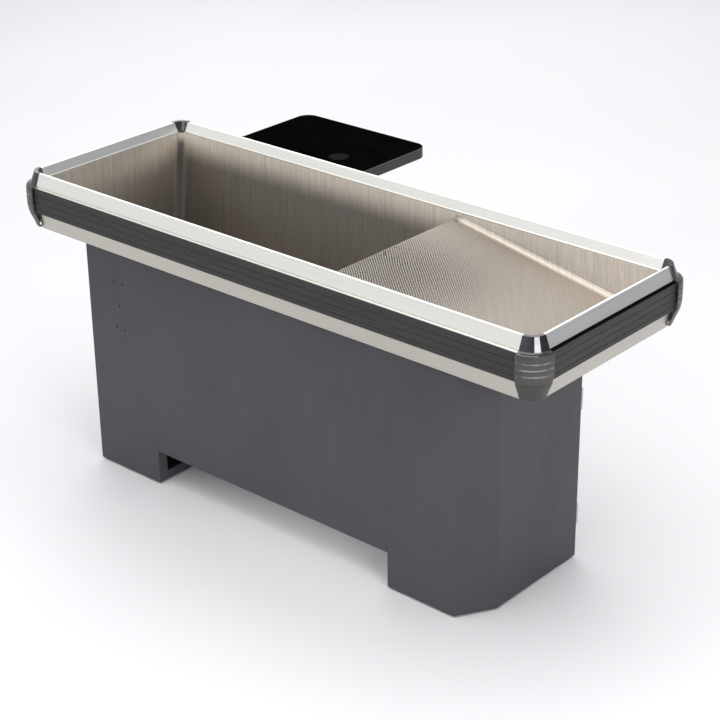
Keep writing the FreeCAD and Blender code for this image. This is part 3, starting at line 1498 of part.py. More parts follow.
def write_parts():
    os.makedirs("parts", exist_ok=True)
    for item in doc.Objects:
        if "Invalid" in item.State or "Error" in item.State:
            raise RuntimeError("%s does not recompute: %s" % (item.Label, item.State))
    for part in parts:
        if part.Shape.isNull() or not part.Shape.isValid():
            raise RuntimeError("%s has no valid shape" % part.Label)
        part.Shape.exportStep("parts/%s.step" % part.Label)
        box = part.Shape.BoundBox
        print("%-28s %2d solids %12.0f mm3  z %.1f..%.1f" % (
            part.Label, len(part.Shape.Solids), part.Shape.Volume, box.ZMin, box.ZMax))


build()
doc.recompute()
write_parts()
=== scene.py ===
import json
import math

import bpy
from mathutils import Matrix, Vector


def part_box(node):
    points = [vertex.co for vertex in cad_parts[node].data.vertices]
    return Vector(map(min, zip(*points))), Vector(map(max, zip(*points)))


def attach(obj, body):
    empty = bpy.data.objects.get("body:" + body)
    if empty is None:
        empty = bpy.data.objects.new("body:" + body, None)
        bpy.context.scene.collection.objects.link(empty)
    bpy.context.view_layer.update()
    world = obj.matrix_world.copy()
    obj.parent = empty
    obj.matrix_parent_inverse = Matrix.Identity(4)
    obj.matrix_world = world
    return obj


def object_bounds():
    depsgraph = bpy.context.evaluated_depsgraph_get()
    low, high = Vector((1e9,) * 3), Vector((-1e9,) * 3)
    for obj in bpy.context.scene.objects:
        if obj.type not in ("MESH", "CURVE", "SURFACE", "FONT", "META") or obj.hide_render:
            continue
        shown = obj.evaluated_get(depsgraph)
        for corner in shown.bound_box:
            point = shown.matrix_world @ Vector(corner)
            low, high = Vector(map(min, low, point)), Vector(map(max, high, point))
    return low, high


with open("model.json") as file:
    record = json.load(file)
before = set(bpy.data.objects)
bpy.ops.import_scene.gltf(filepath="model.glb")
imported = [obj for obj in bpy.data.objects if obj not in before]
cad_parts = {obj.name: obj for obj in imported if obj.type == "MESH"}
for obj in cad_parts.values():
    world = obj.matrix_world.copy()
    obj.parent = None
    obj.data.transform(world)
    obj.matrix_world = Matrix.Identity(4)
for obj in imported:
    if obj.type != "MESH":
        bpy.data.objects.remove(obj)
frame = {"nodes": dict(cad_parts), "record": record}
cad_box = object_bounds()
nodes = frame["nodes"]
slot_of = {row["node"]: row["material_slot"] for row in frame["record"]["subparts"]}


# ------------------------------------------------------------------ node helpers

class Paint:
    """A material and short calls for the nodes it is made of."""

    def __init__(self, name):
        self.mat = bpy.data.materials.new(name)
        self.mat.use_nodes = True
        self.tree = self.mat.node_tree
        self.bsdf = self.tree.nodes["Principled BSDF"]
        self.coord = self.tree.nodes.new("ShaderNodeTexCoord").outputs["Object"]

    def link(self, output, target):
        self.tree.links.new(output, target)

    def feed(self, target, value):
        if isinstance(value, bpy.types.NodeSocket):
            self.link(value, target)
        else:
            target.default_value = value

    def stretch(self, scale=(1, 1, 1), turn=(0, 0, 0), vector=None, shift=(0, 0, 0)):
        node = self.tree.nodes.new("ShaderNodeMapping")
        self.link(vector or self.coord, node.inputs["Vector"])
        node.inputs["Scale"].default_value = scale
        node.inputs["Rotation"].default_value = turn
        node.inputs["Location"].default_value = shift
        return node.outputs[0]

    def noise(self, scale, detail=2.0, rough=0.5, vector=None, distort=0.0):
        node = self.tree.nodes.new("ShaderNodeTexNoise")
        self.link(vector or self.coord, node.inputs["Vector"])
        node.inputs["Scale"].default_value = scale
        node.inputs["Detail"].default_value = detail
        node.inputs["Roughness"].default_value = rough
        node.inputs["Distortion"].default_value = distort
        return node.outputs[0]

    def cells(self, scale, feature="F1", output="Distance", vector=None):
        node = self.tree.nodes.new("ShaderNodeTexVoronoi")
        node.feature = feature
        self.link(vector or self.coord, node.inputs["Vector"])
        node.inputs["Scale"].default_value = scale
        return node.outputs[output]

    def ramp(self, value, low, high, bottom=0.0, top=1.0, smooth=True):
        node = self.tree.nodes.new("ShaderNodeMapRange")
        node.interpolation_type = "SMOOTHSTEP" if smooth else "LINEAR"
        self.feed(node.inputs["Value"], value)
        node.inputs["From Min"].default_value = low
        node.inputs["From Max"].default_value = high
        node.inputs["To Min"].default_value = bottom
        node.inputs["To Max"].default_value = top
        return node.outputs[0]

    def math(self, kind, a, b=0.0, c=0.0):
        node = self.tree.nodes.new("ShaderNodeMath")
        node.operation = kind
        self.feed(node.inputs[0], a)
        self.feed(node.inputs[1], b)
        self.feed(node.inputs[2], c)
        return node.outputs[0]

    def times(self, a, b):
        return self.math("MULTIPLY", a, b)

    def plus(self, a, b):
        return self.math("ADD", a, b)

    def blend(self, factor, a, b):
        node = self.tree.nodes.new("ShaderNodeMix")
        node.data_type = "RGBA"
        self.feed(node.inputs[0], factor)
        self.feed(node.inputs[6], a)
        self.feed(node.inputs[7], b)
        return node.outputs[2]

    def axis(self, name, vector=None):
        node = self.tree.nodes.new("ShaderNodeSeparateXYZ")
        self.link(vector or self.coord, node.inputs[0])
        return node.outputs[name]

    def facing(self, name):
        """Signed part of the surface normal along one axis."""
        node = self.tree.nodes.new("ShaderNodeNewGeometry")
        return self.axis(name, node.outputs["Normal"])

    def bump(self, height, distance, strength=1.0, under=None):
        node = self.tree.nodes.new("ShaderNodeBump")
        node.inputs["Strength"].default_value = strength
        node.inputs["Distance"].default_value = distance
        self.link(height, node.inputs["Height"])
        if under is not None:
            self.link(under, node.inputs["Normal"])
        return node.outputs[0]

    def rounded(self, radius):
        node = self.tree.nodes.new("ShaderNodeBevel")
        node.samples = 4
        node.inputs["Radius"].default_value = radius
        return node.outputs[0]

    def edges(self, radius):
        """Near 1 along sharp edges and 0 on flat faces."""
        geometry = self.tree.nodes.new("ShaderNodeNewGeometry")
        node = self.tree.nodes.new("ShaderNodeVectorMath")
        node.operation = "DOT_PRODUCT"
        self.link(self.rounded(radius), node.inputs[0])
        self.link(geometry.outputs["Normal"], node.inputs[1])
        return self.ramp(node.outputs["Value"], 0.98, 0.80)

    def set(self, **values):
        names = {"color": "Base Color", "metal": "Metallic", "rough": "Roughness", "normal": "Normal",
                 "specular": "Specular IOR Level", "ior": "IOR"}
        for key, value in values.items():
            self.feed(self.bsdf.inputs[names[key]], value)
        return self.mat


def rgb(red, green, blue):
    """Linear colour from 0..255 display values."""
    def straight(value):
        value = value / 255
        return value / 12.92 if value <= 0.04045 else ((value + 0.055) / 1.055) ** 2.4
    return (straight(red), straight(green), straight(blue), 1.0)


# ------------------------------------------------------------------ materials

def aluminium_profile(name, along, band_top, low, high, painted_ledge_span=None):
    """Satin anodised extrusion with die lines along its length, a band under the bumper painted darker as
    painted shade, and a near-black ledge of painted shade where one is given.
    """
    paint = Paint(name)
    squeeze = [900, 900, 900]
    squeeze[along] = 1.2
    lines = paint.noise(1.0, 3, 0.6, paint.stretch(squeeze))
    squeeze[along] = 6
    fine = paint.noise(2.6, 2, 0.5, paint.stretch(squeeze))
    cloud = paint.noise(5, 4, 0.6)
    shade = paint.blend(paint.ramp(lines, 0.3, 0.7), low, high)
    # the band below the bumper is painted a darker grey: painted shade on the lower part of the extrusion
    below = paint.ramp(paint.axis("Z"), band_top + 0.001, band_top - 0.001)
    shaded_band = paint.blend(paint.ramp(lines, 0.3, 0.7), rgb(182, 176, 168), rgb(194, 189, 181))
    shade = paint.blend(below, shade, shaded_band)
    worn = paint.times(paint.edges(0.0012), paint.ramp(cloud, 0.35, 0.7))
    shade = paint.blend(worn, shade, rgb(250, 249, 246))
    rough = paint.plus(paint.ramp(lines, 0.25, 0.75, 0.27, 0.34), paint.ramp(cloud, 0.3, 0.7, 0.0, 0.05))
    normal = paint.bump(fine, 0.00003, 0.5, paint.rounded(0.0007))
    metal = 1.0
    if painted_ledge_span:
        height = paint.axis("Z")
        foot, head = painted_ledge_span
        feather = 0.0002
        # the ledge above the bumper is painted near black and matt: painted shade
        painted_ledge_mask = paint.times(paint.ramp(height, foot - feather, foot), paint.ramp(height, head + feather, head))
        shade = paint.blend(painted_ledge_mask, shade, rgb(14, 14, 14))
        rough = paint.plus(rough, paint.times(painted_ledge_mask, 0.25))
        metal = paint.ramp(painted_ledge_mask, 0, 1, 1, 0)
        paint.set(specular=paint.ramp(painted_ledge_mask, 0, 1, 0.5, 0.0))
    return paint.set(color=shade, metal=metal, rough=rough, normal=normal)


def bumper_plastic(name, along):
    """Extruded PVC with faint draw lines and rubbed scuffs."""
    paint = Paint(name)
    squeeze = [700, 700, 700]
    squeeze[along] = 2
    lines = paint.noise(1.0, 2, 0.5, paint.stretch(squeeze))
    squeeze = [60, 60, 60]
    squeeze[along] = 5
    rub = paint.noise(1.0, 5, 0.65, paint.stretch(squeeze))
    grain = paint.noise(1800, 2, 0.5)
    scuff = paint.times(paint.ramp(rub, 0.60, 0.78), 0.35)
    shade = paint.blend(paint.ramp(lines, 0.35, 0.65), rgb(44, 44, 44), rgb(50, 50, 49))
    shade = paint.blend(scuff, shade, rgb(96, 94, 90))
    shade = paint.blend(paint.times(paint.edges(0.0008), 0.4), shade, rgb(120, 117, 112))
    rough = paint.ramp(rub, 0.3, 0.75, 0.42, 0.58)
    normal = paint.bump(lines, 0.00004, 0.5, paint.bump(grain, 0.00002, 0.4, paint.rounded(0.0004)))
    return paint.set(color=shade, rough=rough, normal=normal, specular=0.3)


def cap_plastic(name, low, shoulder, top):
    """Moulded corner cap: ribbed satin barrel below, dark polished cone above, with painted highlights and
    painted shade on the ribs, a lower taper painted lighter and a cone top painted darker.
    """
    paint = Paint(name)
    height = paint.axis("Z")
    upper = paint.ramp(height, shoulder - 0.0040, shoulder - 0.0025)
    cloud = paint.noise(26, 4, 0.6)
    swirl = paint.noise(1.0, 3, 0.6, paint.stretch((14, 14, 420)))
    grain = paint.noise(1500, 3, 0.6)
    barrel = paint.blend(paint.ramp(cloud, 0.3, 0.7), rgb(61, 58, 55), rgb(71, 68, 65))
    # the lower taper of the barrel is painted lighter: painted light on the inward-turned foot
    lit_foot_start = low + 0.0455
    lit_foot_full = low + 0.0405
    barrel = paint.blend(paint.ramp(height, lit_foot_start, lit_foot_full), barrel, rgb(126, 120, 113))
    # rib edges painted lighter: partly rubbed wear, partly a painted highlight
    rubbed_and_lit_edges = paint.times(paint.edges(0.0012), paint.ramp(cloud, 0.3, 0.6, 0.25, 0.8))
    barrel = paint.blend(rubbed_and_lit_edges, barrel, rgb(178, 176, 172))
    facing_up = paint.facing("Z")
    # up-facing chamfers under the ribs are painted light: a painted highlight
    chamfer_highlight = paint.times(paint.ramp(facing_up, 0.35, 0.6), paint.ramp(cloud, 0.40, 0.6, 0.05, 0.55))
    barrel = paint.blend(chamfer_highlight, barrel, rgb(196, 194, 190))
    # down-facing faces in the rib grooves are painted dark: painted shade
    barrel = paint.blend(paint.ramp(facing_up, -0.15, -0.30, 0.0, 0.9), barrel, rgb(24, 23, 22))
    cone = paint.blend(paint.ramp(cloud, 0.3, 0.7), rgb(84, 84, 86), rgb(96, 96, 98))
    # the cone is painted darker towards its top: a painted dark reflection
    cone = paint.blend(paint.ramp(height, top - 0.003, top, 0.0, 0.5), cone, rgb(48, 48, 50))
    shade = paint.blend(upper, barrel, cone)
    rough = paint.ramp(upper, 0, 1, 0.36, 0.06)
    rough = paint.plus(rough, paint.ramp(swirl, 0.3, 0.8, 0.0, 0.04))
    normal = paint.bump(grain, 0.00003, 0.25, paint.rounded(0.0006))
    return paint.set(color=shade, metal=upper, rough=rough, normal=normal)


GRAIN_TURN = math.radians(41.5)
STROKE_TURN = math.radians(48)
STROKE_COLUMNS = 165
STROKE_ROWS = 26


def dash_pattern(paint, skew):
    """Staggered fine strokes pressed into the stainless sheet, 1 on a stroke."""
    warp = paint.noise(9, 2, 0.5)
    across = paint.math("MULTIPLY_ADD", paint.axis("X", skew), STROKE_COLUMNS, paint.times(warp, 2.0))
    along = paint.math("MULTIPLY_ADD", paint.axis("Y", skew), STROKE_ROWS, paint.times(warp, 3.0))
    column = paint.math("FLOOR", across)
    shifted = paint.math("MULTIPLY_ADD", paint.math("MODULO", column, 2.0), 0.5, along)
    side = paint.math("ABSOLUTE", paint.math("SUBTRACT", paint.math("FRACT", across), 0.5))
    end = paint.math("ABSOLUTE", paint.math("SUBTRACT", paint.math("FRACT", shifted), 0.5))
    return paint.times(paint.ramp(side, 0.40, 0.10), paint.ramp(end, 0.495, 0.43, 0.35, 1.0))


def stainless_tray(name, top, ridge, end, far):
    """Brushed stainless: skew grain on every face, pressed strokes on the ramp by the ridge, and painted
    shade low on the walls, in the back-left corner and on the ramp by the ridge.
    """
    paint = Paint(name)
    skew = paint.stretch((1, 1, 1), (0, 0, -GRAIN_TURN))
    x = paint.axis("X")
    z = paint.axis("Z")
    up = paint.facing("Z")
    wall = paint.ramp(up, 0.80, 0.60)
    streak = paint.noise(1.0, 3, 0.65, paint.stretch((430, 7, 9), vector=skew))
    coarse = paint.noise(1.0, 2, 0.6, paint.stretch((120, 4, 5), vector=skew))
    broken = paint.noise(1.0, 3, 0.7, paint.stretch((330, 40, 60), vector=skew))
    cloud = paint.noise(4.5, 4, 0.6)
    past_ridge = paint.ramp(x, ridge - 0.05, ridge)
    near_ridge = paint.times(past_ridge, paint.ramp(x, ridge + 0.50, ridge + 0.08))
    near_side = paint.ramp(paint.axis("Y"), far - 0.07, far - 0.33, 0.15, 1.0)
    strokes_here = paint.times(near_ridge, near_side)
    strokes_here = paint.times(strokes_here, paint.ramp(up, 0.86, 0.95))
    stroke = dash_pattern(paint, paint.stretch((1, 1, 1), (0, 0, -STROKE_TURN)))
    base = paint.blend(paint.ramp(streak, 0.30, 0.70), rgb(190, 180, 168), rgb(213, 202, 189))
    base = paint.blend(paint.times(paint.ramp(coarse, 0.45, 0.7), 0.18), base, rgb(150, 141, 131))
    base = paint.blend(paint.times(wall, paint.ramp(broken, 0.52, 0.72, 0.0, 0.25)), base,
                       rgb(128, 121, 113))
    # the up-facing ramp by the ridge is painted darker: painted shade against the light from above
    level = paint.times(paint.ramp(up, 0.80, 0.95), paint.ramp(near_ridge, 0, 1, 0.55, 0.85))
    base = paint.blend(level, base, rgb(150, 141, 131))
    gap = paint.ramp(stroke, 0.1, 0.8, 1.0, 0.0)
    base = paint.blend(paint.times(strokes_here, gap), base, rgb(60, 56, 52))
    # the walls are painted darker towards the bottom of the tray: painted shade
    depth_shade = paint.ramp(z, top - 0.02, top - 0.20, 0.0, 0.5)
    base = paint.blend(paint.times(wall, depth_shade), base, rgb(100, 94, 88))
    # the lower part of the left wall is painted darker: painted shade
    left_wall_shade = paint.times(wall, paint.ramp(paint.facing("X"), 0.1, 0.5))
    left_wall_shade = paint.times(left_wall_shade, paint.ramp(z, top - 0.01, top - 0.10, 0.0, 0.45))
    left_wall_shade = paint.times(left_wall_shade, paint.ramp(paint.axis("Y"), far - 0.50, far - 0.20, 0.4, 1.0))
    base = paint.blend(left_wall_shade, base, rgb(86, 82, 77))
    # the far wall is painted dimmer with depth, less towards the right end: painted shade
    cashier_wall = paint.times(wall, paint.ramp(paint.facing("Y"), -0.02, -0.40))
    shaded = paint.times(cashier_wall, paint.ramp(z, top, top - 0.075, 0.0, 0.97))
    shaded = paint.times(shaded, paint.ramp(x, end - 0.16, ridge + 0.04, 0.0, 1.0))
    painted_far_wall_tone = paint.blend(paint.ramp(streak, 0.3, 0.7), rgb(94, 89, 84), rgb(108, 102, 96))
    base = paint.blend(shaded, base, painted_far_wall_tone)
    # the rounded back-left corner is painted dark to cover its highlight: painted shade
    corner = paint.times(paint.ramp(paint.facing("X"), 0.0, 0.55),
                        paint.ramp(paint.facing("Y"), 0.0, -0.55))
    corner = paint.times(corner, paint.ramp(z, top - 0.004, top - 0.03, 0.30, 0.90))
    base = paint.blend(paint.times(corner, wall), base, rgb(58, 54, 50))
    rough = paint.plus(paint.ramp(streak, 0.2, 0.8, 0.30, 0.42), paint.ramp(cloud, 0.3, 0.7, 0.0, 0.06))
    pressed = paint.times(stroke, strokes_here)
    normal = paint.bump(pressed, 0.0006, 0.6, paint.bump(streak, 0.00012, 0.5, paint.rounded(0.002)))
    return paint.set(color=base, metal=0.9, rough=rough, normal=normal)


def powder_coat(name, low, high, peel=1.0, sheen=0.46):
    """Fine textured powder coat with faint handling marks and rubbed edges."""
    paint = Paint(name)
    peel_fine = paint.noise(900, 3, 0.6)
    peel_wide = paint.noise(260, 2, 0.5)
    cloud = paint.noise(3.2, 5, 0.6)
    smear = paint.noise(1.0, 5, 0.7, paint.stretch((16, 16, 4)))
    speck = paint.cells(420)
    shade = paint.blend(paint.ramp(cloud, 0.3, 0.7), low, high)
    shade = paint.blend(paint.ramp(speck, 0.10, 0.03, 0.0, 0.25), shade, rgb(120, 120, 124))
    marks = paint.times(paint.ramp(smear, 0.62, 0.80), 0.06)
    shade = paint.blend(marks, shade, rgb(128, 127, 128))
    edge = paint.times(paint.edges(0.0014), paint.ramp(cloud, 0.42, 0.72, 0.10, 0.5))
    shade = paint.blend(edge, shade, rgb(132, 131, 134))
    dull = paint.ramp(smear, 0.3, 0.8, 0.0, 0.10)
    rough = paint.plus(dull, paint.ramp(peel_wide, 0.3, 0.7, sheen, sheen + 0.05))
    normal = paint.bump(peel_wide, 0.00006 * peel, 0.5,
                        paint.bump(peel_fine, 0.00005 * peel, 0.6, paint.rounded(0.0009)))
    return paint.set(color=shade, rough=rough, normal=normal, specular=0.42)


def galvanised(name):
    """Zinc spangle with a dull bloom."""
    paint = Paint(name)
    tone = paint.cells(60, output="Color")
    level = paint.axis("X", tone)
    cloud = paint.noise(9, 4, 0.6)
    shade = paint.blend(level, rgb(150, 153, 156), rgb(196, 198, 200))
    shade = paint.blend(paint.ramp(cloud, 0.5, 0.8, 0.0, 0.4), shade, rgb(132, 132, 130))
    rough = paint.plus(paint.ramp(level, 0, 1, 0.32, 0.46), paint.ramp(cloud, 0.3, 0.8, 0.0, 0.1))
    normal = paint.bump(level, 0.00003, 0.3, paint.rounded(0.0006))
    return paint.set(color=shade, metal=1.0, rough=rough, normal=normal)


def plated(name, low, high, rough_low, rough_high):
    """Turned or plated small metal parts with fine machining marks."""
    paint = Paint(name)
    marks = paint.noise(1.0, 3, 0.6, paint.stretch((1400, 1400, 1400)))
    cloud = paint.noise(40, 4, 0.6)
    shade = paint.blend(paint.ramp(cloud, 0.3, 0.7), low, high)
    shade = paint.blend(paint.times(paint.edges(0.0005), 0.5), shade, rgb(245, 245, 245))
    rough = paint.ramp(marks, 0.3, 0.7, rough_low, rough_high)
    normal = paint.bump(marks, 0.00001, 0.4, paint.rounded(0.0004))
    return paint.set(color=shade, metal=1.0, rough=rough, normal=normal)


def black_laminate(name, dish_x, dish_y):
    """High pressure laminate, deep black, with a fine pore and wipe marks, and a dish painted lighter grey as
    a painted reflection.
    """
    paint = Paint(name)
    pore = paint.noise(1400, 2, 0.5)
    wave = paint.noise(14, 2, 0.5)
    wipe = paint.noise(1.0, 5, 0.7, paint.stretch((5, 22, 22), (0, 0, 0.5)))
    dust = paint.cells(240)
    side_x = paint.math("SUBTRACT", paint.axis("X"), dish_x)
    side_y = paint.math("SUBTRACT", paint.axis("Y"), dish_y)
    reach = paint.math("SQRT", paint.plus(paint.times(side_x, side_x),
                                          paint.times(side_y, side_y)))
    # the dish is painted a lighter grey: a painted reflection of the light it catches
    dish = paint.ramp(reach, 0.031, 0.027)
    shade = paint.blend(paint.ramp(wipe, 0.4, 0.8), rgb(7, 7, 7), rgb(11, 11, 11))
    shade = paint.blend(dish, shade, rgb(33, 33, 34))
    shade = paint.blend(paint.ramp(dust, 0.05, 0.02, 0.0, 0.12), shade, rgb(70, 70, 70))
    shade = paint.blend(paint.times(paint.edges(0.001), 0.3), shade, rgb(90, 90, 90))
    rough = paint.plus(paint.ramp(wipe, 0.3, 0.8, 0.22, 0.27), paint.times(dish, 0.2))
    normal = paint.bump(wave, 0.0002, 0.15, paint.bump(pore, 0.00001, 0.5, paint.rounded(0.0008)))
    return paint.set(color=shade, rough=rough, normal=normal, ior=1.0)


def plain_plastic(name, low, high, rough_low, rough_high, grain_size=900):
    """Moulded or extruded plastic with a fine erosion grain."""
    paint = Paint(name)
    grain = paint.noise(grain_size, 3, 0.6)
    cloud = paint.noise(18, 4, 0.6)
    shade = paint.blend(paint.ramp(cloud, 0.3, 0.7), low, high)
    shade = paint.blend(paint.times(paint.edges(0.0008), 0.35), shade, rgb(130, 130, 130))
    rough = paint.ramp(cloud, 0.3, 0.7, rough_low, rough_high)
    normal = paint.bump(grain, 0.00004, 0.5, paint.rounded(0.0006))
    return paint.set(color=shade, rough=rough, normal=normal)


RIDGE_FROM_LEFT = 1.028
SHOULDER_ABOVE_BUMPER = 0.0037
# height of the ledge above the bumper that is painted near black as shade
PAINTED_LEDGE_HEIGHT = 0.0045
DISH_FROM_CORNER = (0.340, 0.201)
cap_low, cap_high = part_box("corner_cap_front_right")
bumper_foot, bumper_top = (corner.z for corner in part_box("bumpers_long"))
desk_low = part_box("desk_plate")[0]
tray_low, tray_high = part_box("tray_liner")
ridge_x = tray_low.x + RIDGE_FROM_LEFT
shoulder = bumper_top + SHOULDER_ABOVE_BUMPER
painted_ledge_heights = (bumper_top, bumper_top + PAINTED_LEDGE_HEIGHT)
dish = (desk_low.x + DISH_FROM_CORNER[0], desk_low.y + DISH_FROM_CORNER[1])
X_AXIS = 0
Y_AXIS = 1
body_low = rgb(65, 64, 69)
body_high = rgb(69, 68, 74)
SLOT_MATERIALS = {
    "cap_plastic": cap_plastic("cap_plastic", cap_low.z, shoulder, cap_high.z),
    "stainless_sheet": stainless_tray("stainless_sheet", tray_high.z, ridge_x, tray_high.x, tray_high.y),
    "painted_body": powder_coat("painted_body", body_low, body_high),
    # inside parts get a near-black coat: partly their own paint, partly painted shade of the pedestal
    # interior
    "inner_steel": powder_coat("inner_steel", rgb(22, 22, 24), rgb(30, 30, 32)),
    "galvanised_steel": galvanised("galvanised_steel"),
    "zinc_fasteners": plated("zinc_fasteners", rgb(168, 170, 172), rgb(200, 201, 203), 0.25, 0.4),
    "bracket_paint": powder_coat("bracket_paint", rgb(26, 26, 28), rgb(36, 36, 38), 1.4),
    "desk_laminate": black_laminate("desk_laminate", *dish),
    "desk_edging": plain_plastic("desk_edging", rgb(45, 45, 45), rgb(51, 51, 51), 0.42, 0.52),
    "grommet_plastic": plain_plastic("grommet_plastic", rgb(24, 24, 25), rgb(34, 34, 35), 0.4, 0.5, 600),
    "satin_handle": plated("satin_handle", rgb(186, 187, 189), rgb(212, 212, 214), 0.28, 0.38),
    "lock_chrome": plated("lock_chrome", rgb(222, 223, 226), rgb(236, 237, 240), 0.06, 0.12),
    "foot_rubber": plain_plastic("foot_rubber", rgb(20, 20, 20), rgb(34, 34, 33), 0.7, 0.85, 500),
}
NODE_MATERIALS = {
    "rim_profiles_long": aluminium_profile(
        "anodised_aluminium_x", X_AXIS, bumper_foot, rgb(238, 237, 231), rgb(248, 247, 241)),
    # the short profiles get a darker tone than the long ones: painted shade on the ends turned from the light
    "rim_profiles_short": aluminium_profile(
        "anodised_aluminium_y", Y_AXIS, bumper_foot, rgb(226, 226, 224), rgb(238, 238, 236), painted_ledge_heights),
    "bumpers_long": bumper_plastic("bumper_pvc_x", X_AXIS),
    "bumpers_short": bumper_plastic("bumper_pvc_y", Y_AXIS),
}
for name, item in nodes.items():
    item.data.materials.clear()
    item.data.materials.append(NODE_MATERIALS.get(name) or SLOT_MATERIALS[slot_of[name]])


# ------------------------------------------------------------------ sweeps of the ramp

def sweep_strip(name, corner, wall, floor, run, radius=0.020):
    """A concave strip that rounds the corner between a tray wall and the ramp.

    corner is a point on the corner line, run the way along it, wall and floor the normals.
    """
    wall = wall.normalized()
    floor = floor.normalized()
    reach = radius / (1 + wall.dot(floor))
    steps = 10
    parts = 24
    tuck = 0.0006
    bite = 0.00005
    behind = -tuck * (wall + floor)
    verts = []
    for n in range(parts + 1):
        foot = corner + run * (n / parts)
        middle = foot + reach * (wall + floor)
        for k in range(steps + 1):
            share = k / steps
            way = (wall * (1 - share) + floor * share).normalized()
            verts.append(middle - (radius + bite) * way)
        verts.append(foot + behind)
    ring = steps + 2
    faces = []
    for n in range(parts):
        for k in range(ring):
            a = n * ring + k
            b = n * ring + (k + 1) % ring
            faces.append((a, b, b + ring, a + ring))
    faces.append(tuple(range(ring))[::-1])
    faces.append(tuple(range(parts * ring, (parts + 1) * ring)))
    mesh = bpy.data.meshes.new(name)
    mesh.from_pydata([tuple(v) for v in verts], [], faces)
    mesh.update()
    for polygon in mesh.polygons:
        polygon.use_smooth = len(polygon.vertices) == 4 and polygon.index % ring < steps
    mesh.materials.append(SLOT_MATERIALS["stainless_sheet"])
    strip = bpy.data.objects.new(name, mesh)
    bpy.context.scene.collection.objects.link(strip)
    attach(strip, "counter")


def ramp_sweeps():
    """Rounded corners where the ramp meets the long walls and the end wall."""
    lip = 0.009
    fall = 0.138
    top = tray_high.z
    ridge_below_rim = 0.0137
    ridge_z = top - ridge_below_rim
    floor = Vector((fall, 0, 1))

    def ramp_height(x):
        return ridge_z - fall * (x - ridge_x)

    past_ridge = 0.006
    short_of_lip = 0.040
    start = ridge_x + past_ridge
    end = tray_high.x - lip - short_of_lip
    far_lean = 0.45
    near_lean = 0.47
    end_lean = 0.35
    shy = 0.015
    walls = (("far", tray_high.y - lip, -1, far_lean), ("near", tray_low.y + lip, 1, near_lean))
    for name, edge, sign, lean in walls:
        ends = []
        for x in (start, end):
            z = ramp_height(x)
            ends.append(Vector((x, edge + sign * lean * (top - z), z)))
        sweep_strip("ramp_sweep_" + name, ends[0], Vector((0, sign, lean)), floor, ends[1] - ends[0])
    x_mouth = tray_high.x - lip
    drop = (top - ridge_z + fall * (x_mouth - ridge_x)) / (1 + fall * end_lean)
    x = x_mouth - end_lean * drop
    low = Vector((x, tray_low.y + lip + near_lean * drop + shy, top - drop))
    high = Vector((x, tray_high.y - lip - far_lean * drop - shy, top - drop))
    sweep_strip("ramp_sweep_end", low, Vector((-1, 0, end_lean)), floor, high - low)


ramp_sweeps()


# ------------------------------------------------------------------ floor, lights, camera

def pale_floor():
    """A wide matt floor at z = 0."""
    size = 40.0
    mesh = bpy.data.meshes.new("floor")
    corners = [(-size, -size, 0), (size, -size, 0), (size, size, 0), (-size, size, 0)]
    mesh.from_pydata(corners, [], [(0, 1, 2, 3)])
    floor = bpy.data.objects.new("floor", mesh)
    bpy.context.scene.collection.objects.link(floor)
    paint = Paint("floor_pale")
    cloud = paint.noise(0.5, 2, 0.5)
    shade = paint.blend(paint.ramp(cloud, 0.3, 0.7), rgb(238, 239, 240), rgb(243, 243, 244))
    mesh.materials.append(paint.set(color=shade, rough=0.6, specular=0.2))


def soft_light(name, place, target, width, height, power):
    """A rectangular area light at a place, turned to its target."""
    data = bpy.data.lights.new(name, "AREA")
    data.shape = "RECTANGLE"
    data.size = width
    data.size_y = height
    data.energy = power
    lamp = bpy.data.objects.new(name, data)
    bpy.context.scene.collection.objects.link(lamp)
    lamp.location = place
    aim = Vector(target) - Vector(place)
    lamp.rotation_euler = aim.to_track_quat("-Z", "Y").to_euler()


# name, place, width, height, power
LIGHTS = (
    ("key", (0.4, -4.4, 3.2), 3.0, 2.0, 20),
    ("top", (0.2, -0.6, 5.0), 5.0, 5.0, 110),
    ("back", (-3.6, 3.8, 3.0), 3.6, 2.4, 36),
    ("strip", (3.7, -1.7, 1.9), 1.9, 1.1, 50),
)


def studio():
    """Four soft lights aimed at the middle of the counter, and the room around them."""
    low, high = cad_box
    middle = (Vector(low) + Vector(high)) / 2
    for name, place, width, height, power in LIGHTS:
        soft_light(name, place, middle, width, height, power)
    graded_sky()


# direction, from low to high, strength from bottom to top; the two add up
SKY_GRADES = (
    ("X", -0.7, 0.8, 0.84, 0.30),
    ("Z", 0.10, 0.95, 0.0, 0.25),
)


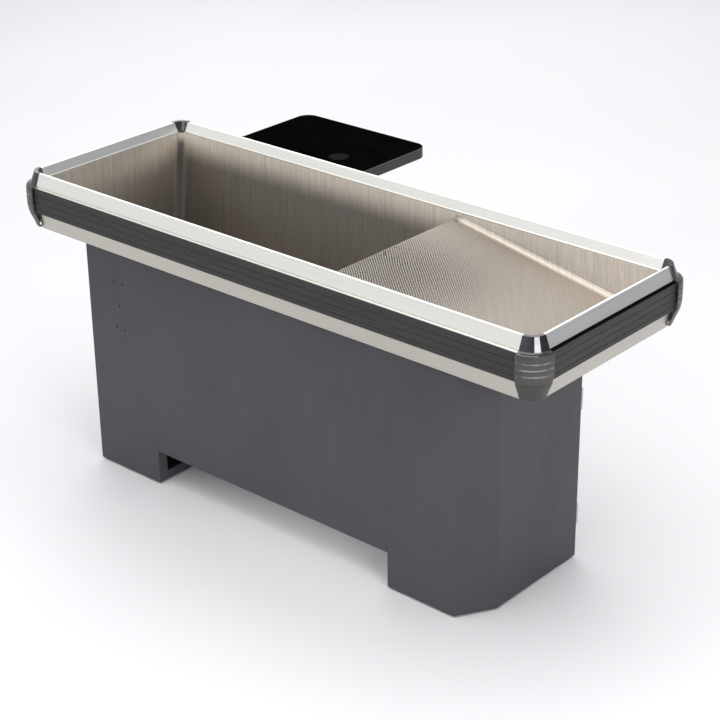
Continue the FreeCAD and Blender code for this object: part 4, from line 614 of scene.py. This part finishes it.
def graded_sky():
    """A pale room: lighter to the left and overhead, greyer to the right."""
    world = bpy.data.worlds.new("studio")
    world.use_nodes = True
    tree = world.node_tree
    direction = tree.nodes.new("ShaderNodeTexCoord").outputs["Generated"]
    parts = tree.nodes.new("ShaderNodeSeparateXYZ")
    tree.links.new(direction, parts.inputs[0])
    total = tree.nodes.new("ShaderNodeMath")
    for slot, (side, low, high, bottom, top) in enumerate(SKY_GRADES):
        grade = tree.nodes.new("ShaderNodeMapRange")
        tree.links.new(parts.outputs[side], grade.inputs["Value"])
        grade.inputs["From Min"].default_value = low
        grade.inputs["From Max"].default_value = high
        grade.inputs["To Min"].default_value = bottom
        grade.inputs["To Max"].default_value = top
        tree.links.new(grade.outputs[0], total.inputs[slot])
    tree.links.new(total.outputs[0], tree.nodes["Background"].inputs["Strength"])
    tree.nodes["Background"].inputs["Color"].default_value = (0.97, 0.98, 1.0, 1)
    bpy.context.scene.world = world


CAMERA_PLACE = (3.0601, -3.5805, 2.6698)
CAMERA_BEARING = math.radians(41.4817)
CAMERA_TILT = math.radians(25.5423)
CAMERA_ROLL = math.radians(0.7045)
CAMERA_LENS = 94.83


def photo_camera():
    """The camera at the place, bearing and focal length of the photograph."""
    bearing, tilt, roll = CAMERA_BEARING, CAMERA_TILT, CAMERA_ROLL
    reach = math.cos(tilt)
    forward = Vector((-math.sin(bearing) * reach, math.cos(bearing) * reach, -math.sin(tilt)))
    level = Vector((math.cos(bearing), math.sin(bearing), 0))
    down = forward.cross(level)
    right = math.cos(roll) * level + math.sin(roll) * down
    lower = -math.sin(roll) * level + math.cos(roll) * down
    data = bpy.data.cameras.new("camera")
    data.lens = CAMERA_LENS
    data.sensor_width = 36.0
    data.clip_end = 200
    camera = bpy.data.objects.new("camera", data)
    bpy.context.scene.collection.objects.link(camera)
    turn = Matrix((right, -lower, -forward)).transposed()
    camera.matrix_world = Matrix.Translation(CAMERA_PLACE) @ turn.to_4x4()
    bpy.context.scene.camera = camera


pale_floor()
studio()
photo_camera()
bpy.context.scene.view_settings.view_transform = "Standard"
